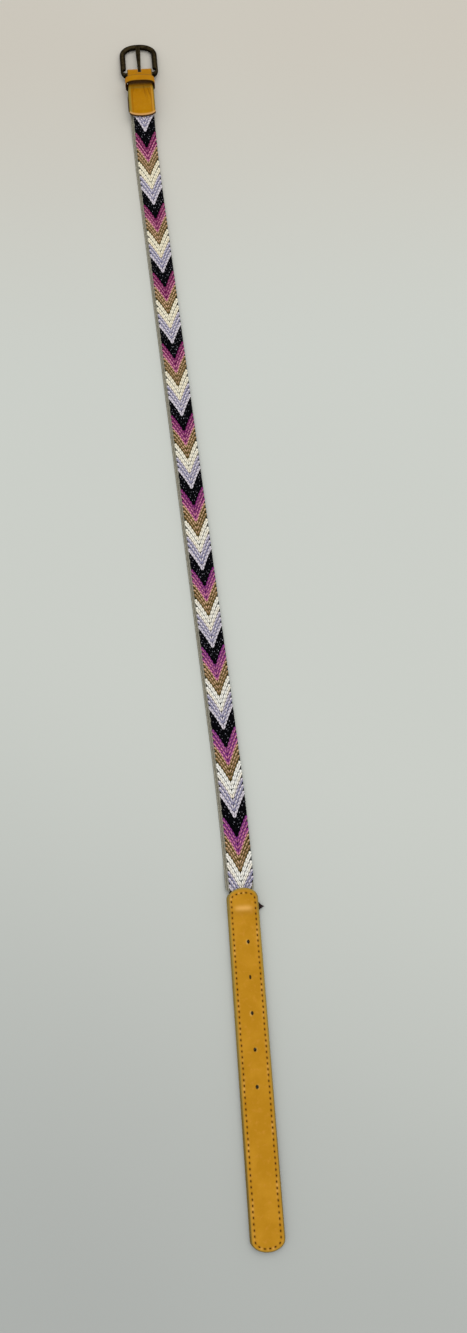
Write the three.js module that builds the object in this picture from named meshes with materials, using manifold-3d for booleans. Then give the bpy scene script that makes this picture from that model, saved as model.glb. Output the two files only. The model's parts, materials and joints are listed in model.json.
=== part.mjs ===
// Woven belt with leather ends and a single-prong buckle, lying face up on a table.
// Millimetres, +Z up. +Y runs from the tip to the buckle, +X across the strap.
// Station s is the distance along the strap from the buckle's bar towards the tip.
import * as THREE from "three";
import { mergeVertices } from "three/addons/utils/BufferGeometryUtils.js";
import Module from "manifold-3d";

const wasm = await Module();
wasm.setup();

// Clearance between pieces that touch on the real belt
const GAP = 0.3;

// How the strap lies: stretches between stations, each turning by an angle (radians)
const LAY = [
  { from: -60, to: 48, turn: 0 },
  { from: 48, to: 119, turn: 0.043 },
  { from: 119, to: 652, turn: 0 },
  { from: 652, to: 772, turn: -0.053 },
  { from: 772, to: 1100, turn: 0 },
];

// Woven band and the thin backing strip that shows beyond its left edge
const BRAID = { left: -8.3, right: 11.5, thick: 2.5, pressed: 1.4 };
const BACKING = { left: -11.5, right: 10, thick: 1 };
const BAND_END = 772;
const BAND_TUCK = 9.1; // half-width where the band is pressed between the tip's leathers

// Buckle-end leather, folded round the bar
const CHAPE = {
  thick: 2.4,
  width: 24.7,
  foldWidth: 23.8,
  end: 50,
  underEnd: 41, // the lower flap is shorter than the upper one
  endBow: 3.6,
  skiveFrom: 41,
  skived: 1.1,
  taperFrom: 17.5,
  taperTo: 24,
};
const SLOT = { width: 3.3, end: 1.6 };

// Keeper loop bowed over the strap
const KEEPER = {
  from: 10.1,
  to: 17,
  thick: 1.5,
  innerHalf: 12.6,
  shift: -0.35, // it has slipped a little to the left
  bow: 5,
  round: 2.8,
};

// Buckle: bar, horseshoe frame and prong, in the frame's own plane
const BAR_RADIUS = 1.9;
const BAR_HALF = 13.2;
const FRAME = {
  thick: 3.4,
  bevel: 0.8,
  heelHalf: 13.5,
  heel: -2.3,
  sideHalf: 17.4,
  sideFrom: 4.6,
  archFrom: 23,
  top: 36.8,
  outerRound: 2.2,
  innerHalf: 12.6,
  innerTop: 32,
  innerRound: 2.6,
};
const PRONG = { base: 2.6, broad: 3.8, thick: 1.9, eye: 3.5, reach: 34, shoulder: 27 };

// Tip leather: two layers stitched together round the band's end
const TIP = { from: 757.5, to: 1006.6, half: 12.2, thick: 1.8, topRound: 8, endRound: 8, blunt: 1.4 };
const TIP_STEP = { from: 772, to: 780 };
const PINCH = { from: 9.9, to: 12.1 };

// Punched holes: station, offset across the strap, length along it and width across it
const HOLES = [
  { station: 797.1, across: 1.2, along: 3, wide: 3 },
  { station: 822.5, across: 1.2, along: 2.6, wide: 1.1 },
  { station: 847.9, across: -0.3, along: 3, wide: 3 },
  { station: 873.3, across: 0.5, along: 3, wide: 3 },
  { station: 898.7, across: 0, along: 3, wide: 3 },
];

// Short end of dark yarn that pokes out beside the tip leather
const YARN_END = { from: 767.8, to: 774.8, reach: 4.1, low: 1, high: 3.2 };

// Heights that follow from the thicknesses
const BAND_THICK = BACKING.thick + GAP + BRAID.thick;
const FOLD_RADIUS = (2 * CHAPE.thick + 2 * GAP + BAND_THICK) / 2;
const CHAPE_INNER = FOLD_RADIUS - CHAPE.thick;
const BAND_IN_CHAPE = CHAPE.thick + GAP;
const BAND_IN_TIP = TIP.thick + GAP;
const PRESSED_THICK = BACKING.thick + GAP + BRAID.pressed;
const TIP_LOW = TIP.thick + GAP;
const TIP_RISE = PRESSED_THICK + GAP;

// The band begins behind the keeper's lower run, between the two flaps
const BAND_START = KEEPER.to + GAP;

// Where the band leaves the surface: under the buckle-end leather and into the tip
const DESCENT = { from: CHAPE.end + 1, to: CHAPE.end + 36 };
const ASCENT = { from: TIP.from - 26, to: TIP.from - 2 };

const smooth = THREE.MathUtils.smoothstep;

// Centre line of the strap: a chain of straight lines and circular arcs
function layPoint(station) {
  let [x, y, heading] = [0, -LAY[0].from, 0];
  for (const { from, to, turn } of LAY) {
    const run = Math.min(station, to) - from;
    if (run <= 0) break;
    const bend = (turn * run) / (to - from);
    const chord = bend === 0 ? run : (2 * Math.sin(bend / 2) * run) / bend;
    x += chord * Math.sin(heading + bend / 2);
    y -= chord * Math.cos(heading + bend / 2);
    heading += bend;
  }
  return { x, y, heading };
}

// A point of the strap from its station, its offset across and its height
function strapPoint(station, across, height) {
  const { x, y, heading } = layPoint(station);
  const dx = across * Math.cos(heading);
  const dy = across * Math.sin(heading);
  return new THREE.Vector3(x + dx, y + dy, height);
}

// Closed surface through rings of equal count, with both ends capped round their middles
function loft(rings) {
  const count = rings[0].length;
  const points = rings.flat();
  const faces = [];
  for (let i = 0; i + 1 < rings.length; i += 1) {
    for (let j = 0; j < count; j += 1) {
      const a = i * count + j;
      const b = i * count + ((j + 1) % count);
      faces.push(a, b, b + count, a, b + count, a + count);
    }
  }
  const middle = (ring) =>
    ring.reduce((sum, p) => sum.add(p), new THREE.Vector3()).divideScalar(count);
  const last = (rings.length - 1) * count;
  points.push(middle(rings[0]), middle(rings[rings.length - 1]));
  for (let j = 0; j < count; j += 1) {
    const next = (j + 1) % count;
    faces.push(points.length - 2, next, j);
    faces.push(points.length - 1, last + j, last + next);
  }
  const geometry = new THREE.BufferGeometry().setFromPoints(points);
  geometry.setIndex(faces);
  return facingOut(geometry);
}

// Turns the faces round where they enclose a negative volume
function facingOut(geometry) {
  const p = geometry.getAttribute("position");
  const index = geometry.index.array;
  const [a, b, c] = [new THREE.Vector3(), new THREE.Vector3(), new THREE.Vector3()];
  let volume = 0;
  for (let i = 0; i < index.length; i += 3) {
    a.fromBufferAttribute(p, index[i]);
    b.fromBufferAttribute(p, index[i + 1]);
    c.fromBufferAttribute(p, index[i + 2]);
    volume += a.dot(b.cross(c));
  }
  if (volume < 0) {
    for (let i = 0; i < index.length; i += 3) {
      [index[i + 1], index[i + 2]] = [index[i + 2], index[i + 1]];
    }
  }
  return geometry;
}

// A geometry as a solid that can be cut and joined, and back
function toSolid(geometry) {
  const bare = geometry.clone();
  bare.deleteAttribute("normal");
  bare.deleteAttribute("uv");
  const merged = mergeVertices(bare, 1e-4);
  return new wasm.Manifold(
    new wasm.Mesh({
      numProp: 3,
      vertProperties: new Float32Array(merged.getAttribute("position").array),
      triVerts: new Uint32Array(merged.index.array),
    }),
  );
}

function fromSolid(solid) {
  const { vertProperties, triVerts } = solid.getMesh();
  const geometry = new THREE.BufferGeometry();
  geometry.setAttribute("position", new THREE.BufferAttribute(vertProperties, 3));
  geometry.setIndex(new THREE.BufferAttribute(triVerts, 1));
  geometry.computeVertexNormals();
  return geometry;
}

// Points of a quarter or half superellipse: angle 0 lies on +X, a quarter turn on +Y
function superArc(centreY, halfWidth, height, power, fromAngle, toAngle, steps) {
  const points = [];
  for (let i = 0; i <= steps; i += 1) {
    const angle = THREE.MathUtils.lerp(fromAngle, toAngle, i / steps);
    const bend = (v) => Math.sign(v) * Math.abs(v) ** (2 / power);
    const x = halfWidth * bend(Math.cos(angle));
    points.push(new THREE.Vector2(x, centreY + height * bend(Math.sin(angle))));
  }
  return points;
}

// Evenly spaced stations, both ends included
function stationsBetween(from, to, steps) {
  return Array.from({ length: steps + 1 }, (_, i) => from + ((to - from) * i) / steps);
}

// Height of the band's underside above the table
function bandFloor(station) {
  const down = BAND_IN_CHAPE * (1 - smooth(station, DESCENT.from, DESCENT.to));
  const up = BAND_IN_TIP * smooth(station, ASCENT.from, ASCENT.to);
  return down + up;
}

// How far the band is pressed where the tip's leathers hold it: 0 free, 1 pressed
function bandPress(station) {
  return smooth(station, TIP.from - 8, TIP.from + 1);
}

// A flat strip of the band, as wide and thick as asked at each station
function bandStrip(left, right, floorOf, thickOf, corner) {
  const stations = [
    ...stationsBetween(BAND_START, DESCENT.from, 2),
    ...stationsBetween(DESCENT.from + 5, DESCENT.to, 6),
    ...stationsBetween(DESCENT.to + 14, LAY[3].from, 12),
    ...stationsBetween(LAY[3].from + 14, ASCENT.from, 5),
    ...stationsBetween(ASCENT.from + 4, TIP.from + 1, 8),
    BAND_END,
  ];
  const rings = stations.map((station) => {
    const press = bandPress(station);
    const a = THREE.MathUtils.lerp(left, Math.max(left, -BAND_TUCK), press);
    const b = THREE.MathUtils.lerp(right, Math.min(right, BAND_TUCK), press);
    const low = floorOf(station);
    const high = low + thickOf(station);
    return [
      strapPoint(station, a + corner, low),
      strapPoint(station, b - corner, low),
      strapPoint(station, b, low + corner),
      strapPoint(station, b, high - corner),
      strapPoint(station, b - corner, high),
      strapPoint(station, a + corner, high),
      strapPoint(station, a, high - corner),
      strapPoint(station, a, low + corner),
    ];
  });
  return loft(rings);
}

function wovenBand() {
  const floorOf = (station) => bandFloor(station) + BACKING.thick + GAP;
  const thickOf = (station) =>
    THREE.MathUtils.lerp(BRAID.thick, BRAID.pressed, bandPress(station));
  return bandStrip(BRAID.left, BRAID.right, floorOf, thickOf, 0.6);
}

function bandBacking() {
  return bandStrip(BACKING.left, BACKING.right, bandFloor, () => BACKING.thick, 0.3);
}

// Buckle-end leather: a folded strip seen from the side, cut to its outline and slotted
function chape() {
  const { thick, width, foldWidth, end, underEnd, endBow, skiveFrom, skived } = CHAPE;
  const side = new THREE.Shape();
  side.moveTo(-underEnd, 0);
  side.lineTo(0, 0);
  side.absarc(0, FOLD_RADIUS, FOLD_RADIUS, -Math.PI / 2, Math.PI / 2, false);
  side.lineTo(-skiveFrom, 2 * FOLD_RADIUS);
  side.lineTo(-end, 2 * FOLD_RADIUS - thick + skived);
  side.lineTo(-end, 2 * FOLD_RADIUS - thick);
  side.lineTo(0, 2 * FOLD_RADIUS - thick);
  side.absarc(0, FOLD_RADIUS, CHAPE_INNER, Math.PI / 2, -Math.PI / 2, true);
  side.lineTo(-underEnd, thick);
  side.closePath();
  const strip = new THREE.ExtrudeGeometry(side, {
    depth: width + 2,
    bevelEnabled: false,
    curveSegments: 16,
  });
  // The side view's axes become +Y and +Z, and its depth runs along +X
  strip.applyMatrix4(new THREE.Matrix4().set(0, 0, 1, 0, 1, 0, 0, 0, 0, 1, 0, 0, 0, 0, 0, 1));
  strip.translate(-width / 2 - 1, 0, 0);

  const plan = new THREE.Shape();
  plan.moveTo(-foldWidth / 2, FOLD_RADIUS + 1);
  plan.lineTo(-foldWidth / 2, -CHAPE.taperFrom);
  plan.lineTo(-width / 2, -CHAPE.taperTo);
  plan.lineTo(-width / 2, -end + endBow);
  for (const p of superArc(-end + endBow, width / 2, endBow, 2, Math.PI, 2 * Math.PI, 14)) {
    plan.lineTo(p.x, p.y);
  }
  plan.lineTo(width / 2, -CHAPE.taperTo);
  plan.lineTo(foldWidth / 2, -CHAPE.taperFrom);
  plan.lineTo(foldWidth / 2, FOLD_RADIUS + 1);
  plan.closePath();
  const cutter = new THREE.ExtrudeGeometry(plan, {
    depth: 2 * FOLD_RADIUS + 2,
    bevelEnabled: false,
  });
  cutter.translate(0, 0, -1);

  const slot = new THREE.Shape();
  slot.moveTo(SLOT.width / 2, FOLD_RADIUS + 2);
  slot.lineTo(-SLOT.width / 2, FOLD_RADIUS + 2);
  slot.lineTo(-SLOT.width / 2, -SLOT.end + SLOT.width / 2);
  slot.absarc(0, -SLOT.end + SLOT.width / 2, SLOT.width / 2, Math.PI, 2 * Math.PI, false);
  slot.closePath();
  const hole = new THREE.ExtrudeGeometry(slot, {
    depth: 2 * FOLD_RADIUS + 2,
    bevelEnabled: false,
    curveSegments: 8,
  });
  hole.translate(0, 0, -1);
  // Inside the fold the slot is hollowed for the prong's eye, and a thin skin stays over it
  const eyeRoom = PRONG.eye + GAP;
  const hollow = new THREE.CylinderGeometry(eyeRoom, eyeRoom, SLOT.width, 32);
  hollow.rotateZ(Math.PI / 2);
  hollow.translate(0, 0, FOLD_RADIUS);
  return fromSolid(
    toSolid(strip).intersect(toSolid(cutter)).subtract(toSolid(hole)).subtract(toSolid(hollow)),
  );
}

// Outline of the keeper loop across the strap, grown outwards by an amount
function keeperOutline(grow) {
  const half = KEEPER.innerHalf + grow;
  const floor = BAND_IN_CHAPE + KEEPER.thick - grow;
  const spring = 2 * FOLD_RADIUS;
  const corner = 1 + grow;
  const arch = superArc(spring, half, KEEPER.bow + grow, KEEPER.round, 0, Math.PI, 24);
  return [
    new THREE.Vector2(-half + corner, floor),
    new THREE.Vector2(half - corner, floor),
    new THREE.Vector2(half - corner * 0.3, floor + corner * 0.3),
    new THREE.Vector2(half, floor + corner),
    ...arch,
    new THREE.Vector2(-half, floor + corner),
    new THREE.Vector2(-half + corner * 0.3, floor + corner * 0.3),
  ];
}

function keeperLoop() {
  const ring = new THREE.Shape(keeperOutline(KEEPER.thick));
  ring.holes.push(new THREE.Path(keeperOutline(0)));
  const loop = new THREE.ExtrudeGeometry(ring, {
    depth: KEEPER.to - KEEPER.from,
    bevelEnabled: false,
  });
  // Stands the ring upright, with its depth running back along -Y from the buckle side
  loop.rotateX(Math.PI / 2);
  loop.translate(KEEPER.shift, -KEEPER.from, 0);
  return loop;
}

// Half-width of the tip leather, with an elliptical end above and below
function tipHalfWidth(station) {
  const intoTop = Math.max(0, TIP.from + TIP.topRound - station) / TIP.topRound;
  const intoEnd = Math.max(0, station - TIP.to + TIP.endRound) / TIP.endRound;
  const into = Math.min(1, Math.max(intoTop, intoEnd));
  return Math.max(TIP.blunt, TIP.half * Math.sqrt(1 - into * into));
}

// Stations of the tip leather: close together on the rounded ends and over the step
function tipStations() {
  const arc = [0, 0.01, 0.05, 0.13, 0.26, 0.44, 0.68, 1];
  return [
    ...arc.map((t) => TIP.from + TIP.topRound * t),
    ...stationsBetween(TIP_STEP.from - 2, TIP_STEP.to + 1, 7),
    ...stationsBetween(TIP_STEP.to + 12, TIP.to - TIP.endRound, 10),
    ...arc.map((t) => TIP.to - TIP.endRound * t).reverse().slice(1),
  ];
}

// One layer of the tip: columns across the strap, its underside at a height for each place
function tipLayer(floorOf) {
  const columns = [-1, -0.94, -0.88, -0.81, -0.4, 0, 0.4, 0.81, 0.88, 0.94, 1];
  const rings = tipStations().map((station) => {
    const half = tipHalfWidth(station);
    const across = columns.map((c) => c * half);
    const low = across.map((a) => strapPoint(station, a, floorOf(station, a)));
    const high = across.map((a) => strapPoint(station, a, floorOf(station, a) + TIP.thick));
    return [...low, ...high.reverse()];
  });
  return loft(rings);
}

// The punched holes, each an upright pin through both layers
function punch(geometry) {
  let solid = toSolid(geometry);
  for (const { station, across, along, wide } of HOLES) {
    const pin = new THREE.CylinderGeometry(0.5, 0.5, 4 * TIP.thick + 4, 20);
    pin.rotateX(Math.PI / 2);
    pin.scale(wide, along, 1);
    pin.rotateZ(layPoint(station).heading);
    const { x, y } = strapPoint(station, across, 0);
    pin.translate(x, y, TIP.thick);
    solid = solid.subtract(toSolid(pin));
  }
  return fromSolid(solid);
}

function tipBack() {
  return punch(tipLayer(() => 0));
}

// The front layer rides over the band's end, and its edges are stitched down to the back
function tipFront() {
  const floorOf = (station, across) => {
    const over = 1 - smooth(station, TIP_STEP.from, TIP_STEP.to);
    const within = 1 - smooth(Math.abs(across), PINCH.from, PINCH.to);
    return TIP_LOW + TIP_RISE * over * within;
  };
  return punch(tipLayer(floorOf));
}

// A small dark wedge, its broad side against the leather's right edge
function yarnEnd() {
  const { from, to, reach, low, high } = YARN_END;
  const edge = TIP.half + GAP;
  const ring = (across, shrink) => {
    const middle = (from + to) / 2 + shrink * 0.8;
    const halfLength = ((to - from) / 2) * (1 - shrink);
    const halfHeight = ((high - low) / 2) * (1 - 0.7 * shrink);
    const height = (low + high) / 2;
    return [
      strapPoint(middle - halfLength, across, height - halfHeight),
      strapPoint(middle + halfLength, across, height - halfHeight),
      strapPoint(middle + halfLength, across, height + halfHeight),
      strapPoint(middle - halfLength, across, height + halfHeight),
    ];
  };
  return loft([ring(edge, 0), ring(edge + 0.5 * reach, 0.5), ring(edge + reach, 0.9)]);
}

// Horseshoe frame with the bar across its heel, flat on its own plane
function buckleFrame() {
  const f = FRAME;
  const outer = superArc(f.archFrom, f.sideHalf, f.top - f.archFrom, f.outerRound, 0, Math.PI, 28);
  const inner = superArc(
    f.archFrom, f.innerHalf, f.innerTop - f.archFrom, f.innerRound, Math.PI, 0, 24,
  );
  const outline = new THREE.Shape();
  outline.moveTo(f.innerHalf, f.heel);
  outline.lineTo(f.heelHalf, f.heel);
  outline.bezierCurveTo(
    f.heelHalf + 2.6, f.heel, f.sideHalf, f.heel + 2.6, f.sideHalf, f.sideFrom,
  );
  for (const p of outer) outline.lineTo(p.x, p.y);
  outline.lineTo(-f.sideHalf, f.sideFrom);
  outline.bezierCurveTo(
    -f.sideHalf, f.heel + 2.6, -f.heelHalf - 2.6, f.heel, -f.heelHalf, f.heel,
  );
  outline.lineTo(-f.innerHalf, f.heel);
  for (const p of inner) outline.lineTo(p.x, p.y);
  outline.closePath();
  const plate = new THREE.ExtrudeGeometry(outline, {
    depth: f.thick - 2 * f.bevel,
    bevelThickness: f.bevel,
    bevelSize: f.bevel,
    bevelOffset: -f.bevel,
    bevelSegments: 1,
    curveSegments: 6,
  });
  plate.translate(0, 0, f.bevel - f.thick / 2);
  const bar = new THREE.CylinderGeometry(BAR_RADIUS, BAR_RADIUS, 2 * BAR_HALF, 24);
  bar.rotateZ(Math.PI / 2);
  return fromSolid(toSolid(plate).add(toSolid(bar)));
}

// Prong: an eye round the bar and a shank that climbs from it to rest on the frame's arch
function buckleProng() {
  const { base, broad, thick, eye, reach, shoulder } = PRONG;
  const rest = FRAME.thick / 2 + GAP;
  const side = new THREE.Shape();
  side.absarc(0, 0, eye, 0.45, 2 * Math.PI - 0.12, false);
  side.lineTo(FRAME.innerTop - 2, rest);
  side.lineTo(reach - 1, rest);
  side.lineTo(reach, rest + 0.5);
  side.lineTo(reach - 0.4, rest + thick * 0.8);
  side.lineTo(reach - 2.4, rest + thick);
  side.lineTo(FRAME.innerTop - 3, rest + thick);
  side.closePath();
  side.holes.push(new THREE.Path().absarc(0, 0, BAR_RADIUS + GAP, 0, 2 * Math.PI, true));
  const blank = new THREE.ExtrudeGeometry(side, {
    depth: broad + 1,
    bevelEnabled: false,
    curveSegments: 24,
  });
  blank.applyMatrix4(new THREE.Matrix4().set(0, 0, 1, 0, 1, 0, 0, 0, 0, 1, 0, 0, 0, 0, 0, 1));
  blank.translate(-(broad + 1) / 2, 0, 0);
  const plan = new THREE.Shape([
    new THREE.Vector2(-base / 2, -eye - 1),
    new THREE.Vector2(base / 2, -eye - 1),
    new THREE.Vector2(base / 2, eye + 1),
    new THREE.Vector2(broad / 2, shoulder),
    ...superArc(reach - 2.5, broad / 2, 2.5, 2.2, 0, Math.PI, 10),
    new THREE.Vector2(-broad / 2, shoulder),
    new THREE.Vector2(-base / 2, eye + 1),
  ]);
  const cutter = new THREE.ExtrudeGeometry(plan, { depth: 4 * eye, bevelEnabled: false });
  cutter.translate(0, 0, -2 * eye);
  return fromSolid(toSolid(blank).intersect(toSolid(cutter)));
}

// Materials: tan leather, dark yarn, grey suede and gunmetal
function leather(colour) {
  return new THREE.MeshStandardMaterial({ color: colour, roughness: 0.55, metalness: 0 });
}

const LEATHER_TIP = leather(0xbc8a34);
const LEATHER_CHAPE = leather(0xae7a1c);
const BRAID_MIX = new THREE.MeshStandardMaterial({ color: 0x8a6f86, roughness: 0.9 });
const SUEDE = new THREE.MeshStandardMaterial({ color: 0x8c8877, roughness: 0.95 });
const DARK_YARN = new THREE.MeshStandardMaterial({ color: 0x17120f, roughness: 0.9 });
const GUNMETAL = new THREE.MeshStandardMaterial({
  color: 0x2e2a22,
  roughness: 0.35,
  metalness: 0.9,
});

function named(name, geometry, material) {
  const mesh = new THREE.Mesh(geometry, material);
  mesh.name = name;
  return mesh;
}

// The buckle hangs on its bar and leans down until its arch meets the table
const buckle = new THREE.Group();
buckle.position.set(0, 0, FOLD_RADIUS);
const archMiddle = FRAME.thick / 2 + 0.2;
buckle.rotation.x = -Math.asin((FOLD_RADIUS - archMiddle) / FRAME.top);
buckle.add(named("buckle_frame", buckleFrame(), GUNMETAL));
buckle.add(named("buckle_prong", buckleProng(), GUNMETAL));

const strap = new THREE.Group();
strap.add(named("chape", chape(), LEATHER_CHAPE));
strap.add(named("keeper_loop", keeperLoop(), LEATHER_CHAPE));
strap.add(named("woven_band", wovenBand(), BRAID_MIX));
strap.add(named("band_backing", bandBacking(), SUEDE));
strap.add(named("tip_back", tipBack(), LEATHER_TIP));
strap.add(named("tip_front", tipFront(), LEATHER_TIP));
strap.add(named("loose_yarn_end", yarnEnd(), DARK_YARN));

// The part's origin lies on the table, under the middle of its bounding box
const belt = new THREE.Group();
belt.add(strap, buckle);
belt.updateMatrixWorld(true);
const extent = new THREE.Box3().setFromObject(belt, true);
const centre = extent.getCenter(new THREE.Vector3());
belt.position.set(-centre.x, -centre.y, -extent.min.z);

const group = new THREE.Group();
group.add(belt);
export default group;
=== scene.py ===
"""Looks of a woven belt with stitched leather ends and a single-prong buckle, lying face up.

Lengths are millimetres until a mesh is made. Station is the distance along the strap from the
buckle's bar towards the tip, across is the offset to the right of the strap's centre line.
"""
import json
import math

import bmesh
import bpy
import numpy as np
from mathutils import Matrix, Vector


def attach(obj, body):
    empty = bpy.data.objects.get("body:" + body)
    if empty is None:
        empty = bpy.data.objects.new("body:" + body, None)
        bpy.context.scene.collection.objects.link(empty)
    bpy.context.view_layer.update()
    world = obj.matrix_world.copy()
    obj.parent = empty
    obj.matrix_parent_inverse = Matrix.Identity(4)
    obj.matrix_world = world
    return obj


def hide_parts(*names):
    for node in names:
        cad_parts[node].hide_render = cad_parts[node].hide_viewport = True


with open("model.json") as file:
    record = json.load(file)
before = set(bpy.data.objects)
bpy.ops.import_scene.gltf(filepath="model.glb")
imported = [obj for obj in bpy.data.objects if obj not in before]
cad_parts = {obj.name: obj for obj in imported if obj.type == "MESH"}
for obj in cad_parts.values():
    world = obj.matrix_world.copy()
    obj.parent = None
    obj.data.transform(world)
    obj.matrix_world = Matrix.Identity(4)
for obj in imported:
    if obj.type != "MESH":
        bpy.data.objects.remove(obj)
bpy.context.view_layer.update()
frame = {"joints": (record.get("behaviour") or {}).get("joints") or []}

MM = 0.001
RNG = np.random.default_rng(7)

# The bar is where the frame's hinge lies
BAR = np.array(next(j["pos_m"] for j in frame["joints"] if j["name"] == "frame_hinge")) / MM

# How the strap lies: stretches between stations, each turning by an angle in radians
LAY = [(-60, 48, 0.0), (48, 119, 0.043), (119, 652, 0.0), (652, 772, -0.053), (772, 1100, 0.0)]

# Woven band
BAND_START, BAND_END = 24.0, 772.0
BAND_LIFT = 1.3  # from the backing's underside to the yarns' underside
BAND_THICK, BAND_PRESSED = 2.5, 1.4
V_CENTRE, ARM_REACH = 0.9, 9.75  # the chevrons' middle, and how far out their arms reach
ARM_SLOPE, ARM_EASE = 2.3, 0.0039  # climb of an arm, and the cube that flattens it
FIRST_TURN = -75.2  # where the first repeat of the pattern begins, before the band itself
REPEATS = [71.0, 71.0, 78.8, 71.8, 72.0, 70.6, 68.2, 73.3, 66.8, 67.6, 70.1, 70.0, 70.0]
# Colour, length and rows of yarn in each chevron of a repeat
BANDS = [("black", 14.6, 2), ("purple", 14.6, 3), ("tan", 13.0, 3), ("cream", 14.4, 2),
         ("lavender", 15.4, 3)]
PLIES = 2
STITCH, STITCH_FROM = 1.5, 9.1  # stitch length across the strap, and where the first begins
# Lines of pale dots in a black chevron, specks in the holes and painted glints on top: share of
# its length, height, shift in stitches
SPECK_AND_GLINT_LINES = [(0.25, 2.35, 0.0), (0.5, 1.6, 0.5), (0.75, 2.35, 0.0)]
SPECK_AND_GLINT_SHARE = 0.7  # how many of the places show a speck
PLY_HEIGHT = 0.62  # half the height of a ply on its humps
EDGE_STEPS, TOP_STEPS = 60, 600  # points of a ply's way round the edge and over the top
TOP_END, DIVE_FROM = -0.25, 0.8  # how far out a ply ends at the V's centre, and starts to dive
HUMP_DIP, DIVE_DEPTH = 0.7, 0.8  # how far a ply dips between stitches and at the V's centre
EDGE_SLIM, MOVE_IN = 0.45, 0.42  # how far a ply slims at the edge, and moves in at a dip
CORE_SIDES, CORE_HEIGHTS = (-8.3, 10.5), (0.15, 1.3)  # of the dark core under the yarns
STRAND_LENGTH = 30.0  # a ply's length in its UV map, which the twist follows
TWIST = math.tau / 1.3  # turn of the twist for each unit of that length
BAND_RIGHT, BAND_TUCK = 11.5, 9.1  # right edge, and where it goes between the tip's leathers

# Backing strip
BACKING = dict(left=-11.3, right=10.0, thick=1.0, round=0.6, start=18.0, groove=-9.9,
               groove_wide=0.35, groove_deep=0.25)

# Buckle-end leather and keeper
LEATHER, CHAPE_HALF, FOLD_HALF = 2.4, 12.1, 11.6
GAP = 0.3  # clearance between pieces that touch
CHAPE_END, CHAPE_BOW, SKIVE_FROM, SKIVED = 50.0, 3.6, 44.0, 1.1
UNDER_END = 41.0  # the lower flap is shorter
FOLD = 4.6  # outer radius of the fold, and height of the bar
SLOT_HALF, SLOT_END = 1.65, 1.6  # the prong's slot
TAPER = (17.5, 24.0)  # where the leather widens from the fold to the flap
UNDER_SPREAD = 1.0  # how far the lower flap shows beyond the upper one on the left
KEEPER = dict(start=10.1, end=17.0, thick=1.5, half=12.3, shift=-0.35, bow=5.0, power=2.8,
              floor=4.2)

# Buckle
FRAME = dict(thick=3.4, heel_half=13.5, heel=-2.3, side_half=17.6, side_from=4.6, arch_from=23.0,
             top=36.8, outer_power=2.2, inner_half=12.4, inner_top=31.9, inner_power=2.6,
             nick=3.9, nick_deep=3.1, nick_long=2.3)  # the legs are nicked beside the bar's ends
BAR_RADIUS, BAR_HALF = 1.9, 13.2
PRONG = dict(base=2.9, broad=4.3, eye=2.85, eye_wall=0.65, reach=34.0, shoulder=27.0)
# The buckle leans down from the bar until its arch lies just over the table
TILT = -math.asin((FOLD - FRAME["thick"] / 2 - 0.2) / FRAME["top"])

# Tip leather
TIP_START, TIP_END, TIP_HALF, TIP_THICK = 757.5, 1006.6, 12.2, 1.8
TIP_ROUND = 8.0
TIP_LOW, TIP_RISE = 2.1, 3.0
TIP_STEP, PINCH = (772.5, 779.5), (9.9, 12.1)  # the face comes down past the band, and beside it
TIP_LEAN, TIP_NARROW = (1.1, -0.3), (0.95, 0.99)  # shift and share of the width, top and end
BACK_SPREAD, BACK_HOLE = 0.7, 0.5  # the back shows beyond the left edge; its holes' share
# Punched holes: station, across, half along, half wide, which lip is lit (-1 left, 1 right)
HOLES = [(797.1, 1.6, 1.2, 0.95, -1), (822.5, 1.2, 1.2, 0.4, 0), (847.9, 0.5, 1.15, 0.9, -1),
         (873.3, 0.9, 1.15, 0.95, 1), (898.7, 0.4, 1.15, 0.95, 1)]
HOLE_DIP = 0.22  # how far the leather sinks at a hole's rim
FACE_ROUND, UNDER_ROUND = 0.9, 0.5  # rounding of the leathers' outlines above and below
# The painted highlight on the leather over the band's end is centred here
SHINE_AT = 772.6  # where the leather shines over the band's end
STITCH_INSET, STITCH_PITCH, STITCH_HALF = 2.9, 3.95, 0.75  # of the seam along the sides
SEAM_TOP, SEAM_END = 3.9, 2.4  # how far in the stitches run at the tip's two round ends
YARN_END = dict(start=767.8, end=774.8, reach=4.1, strands=16, root_half=3.2, point_half=0.9,
                drift=0.9, height=2.0, radius=0.55)

# Stretches where the band comes down to the table, rises to the tip, and is pressed by it
DESCENT = (CHAPE_END + 1, CHAPE_END + 36)
ASCENT = (TIP_START - 26, TIP_START - 2)
PRESS = (TIP_START - 8, TIP_START + 1)

# Camera: its place from the bar, its directions and its lens
CAMERA_FROM_BAR = (-5.9, -802.7, 809.4)
CAMERA_LOOK = (0.05070, 0.26099, -0.96401)
CAMERA_UP = (0.07848, 0.96122, 0.26437)
LENS, SENSOR = 28.357, 36.0

# Light and floor, in metres
SKY_COLOUR, SKY_STRENGTH = (0.97, 1.0, 0.99, 1.0), 0.86
WINDOW = dict(at=(0.9, 1.3, 2.6), size=3.0, power=30.0, colour=(1.0, 0.99, 0.96))
FLOOR_HALF = 6.0


def smooth(value, low, high):
    """Eased step from 0 at low to 1 at high: 3 t squared minus 2 t cubed."""
    t = np.clip((value - low) / (high - low), 0, 1)
    return t * t * (3 - 2 * t)


def bell(offset, width, power=2):
    """Bell curve: one at no offset, fading by a factor of e where the offset is the width."""
    return np.exp(-((offset / width) ** power))


def ring_angles(count):
    """Evenly spaced angles round a full turn."""
    return np.linspace(0, math.tau, count, endpoint=False)


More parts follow.
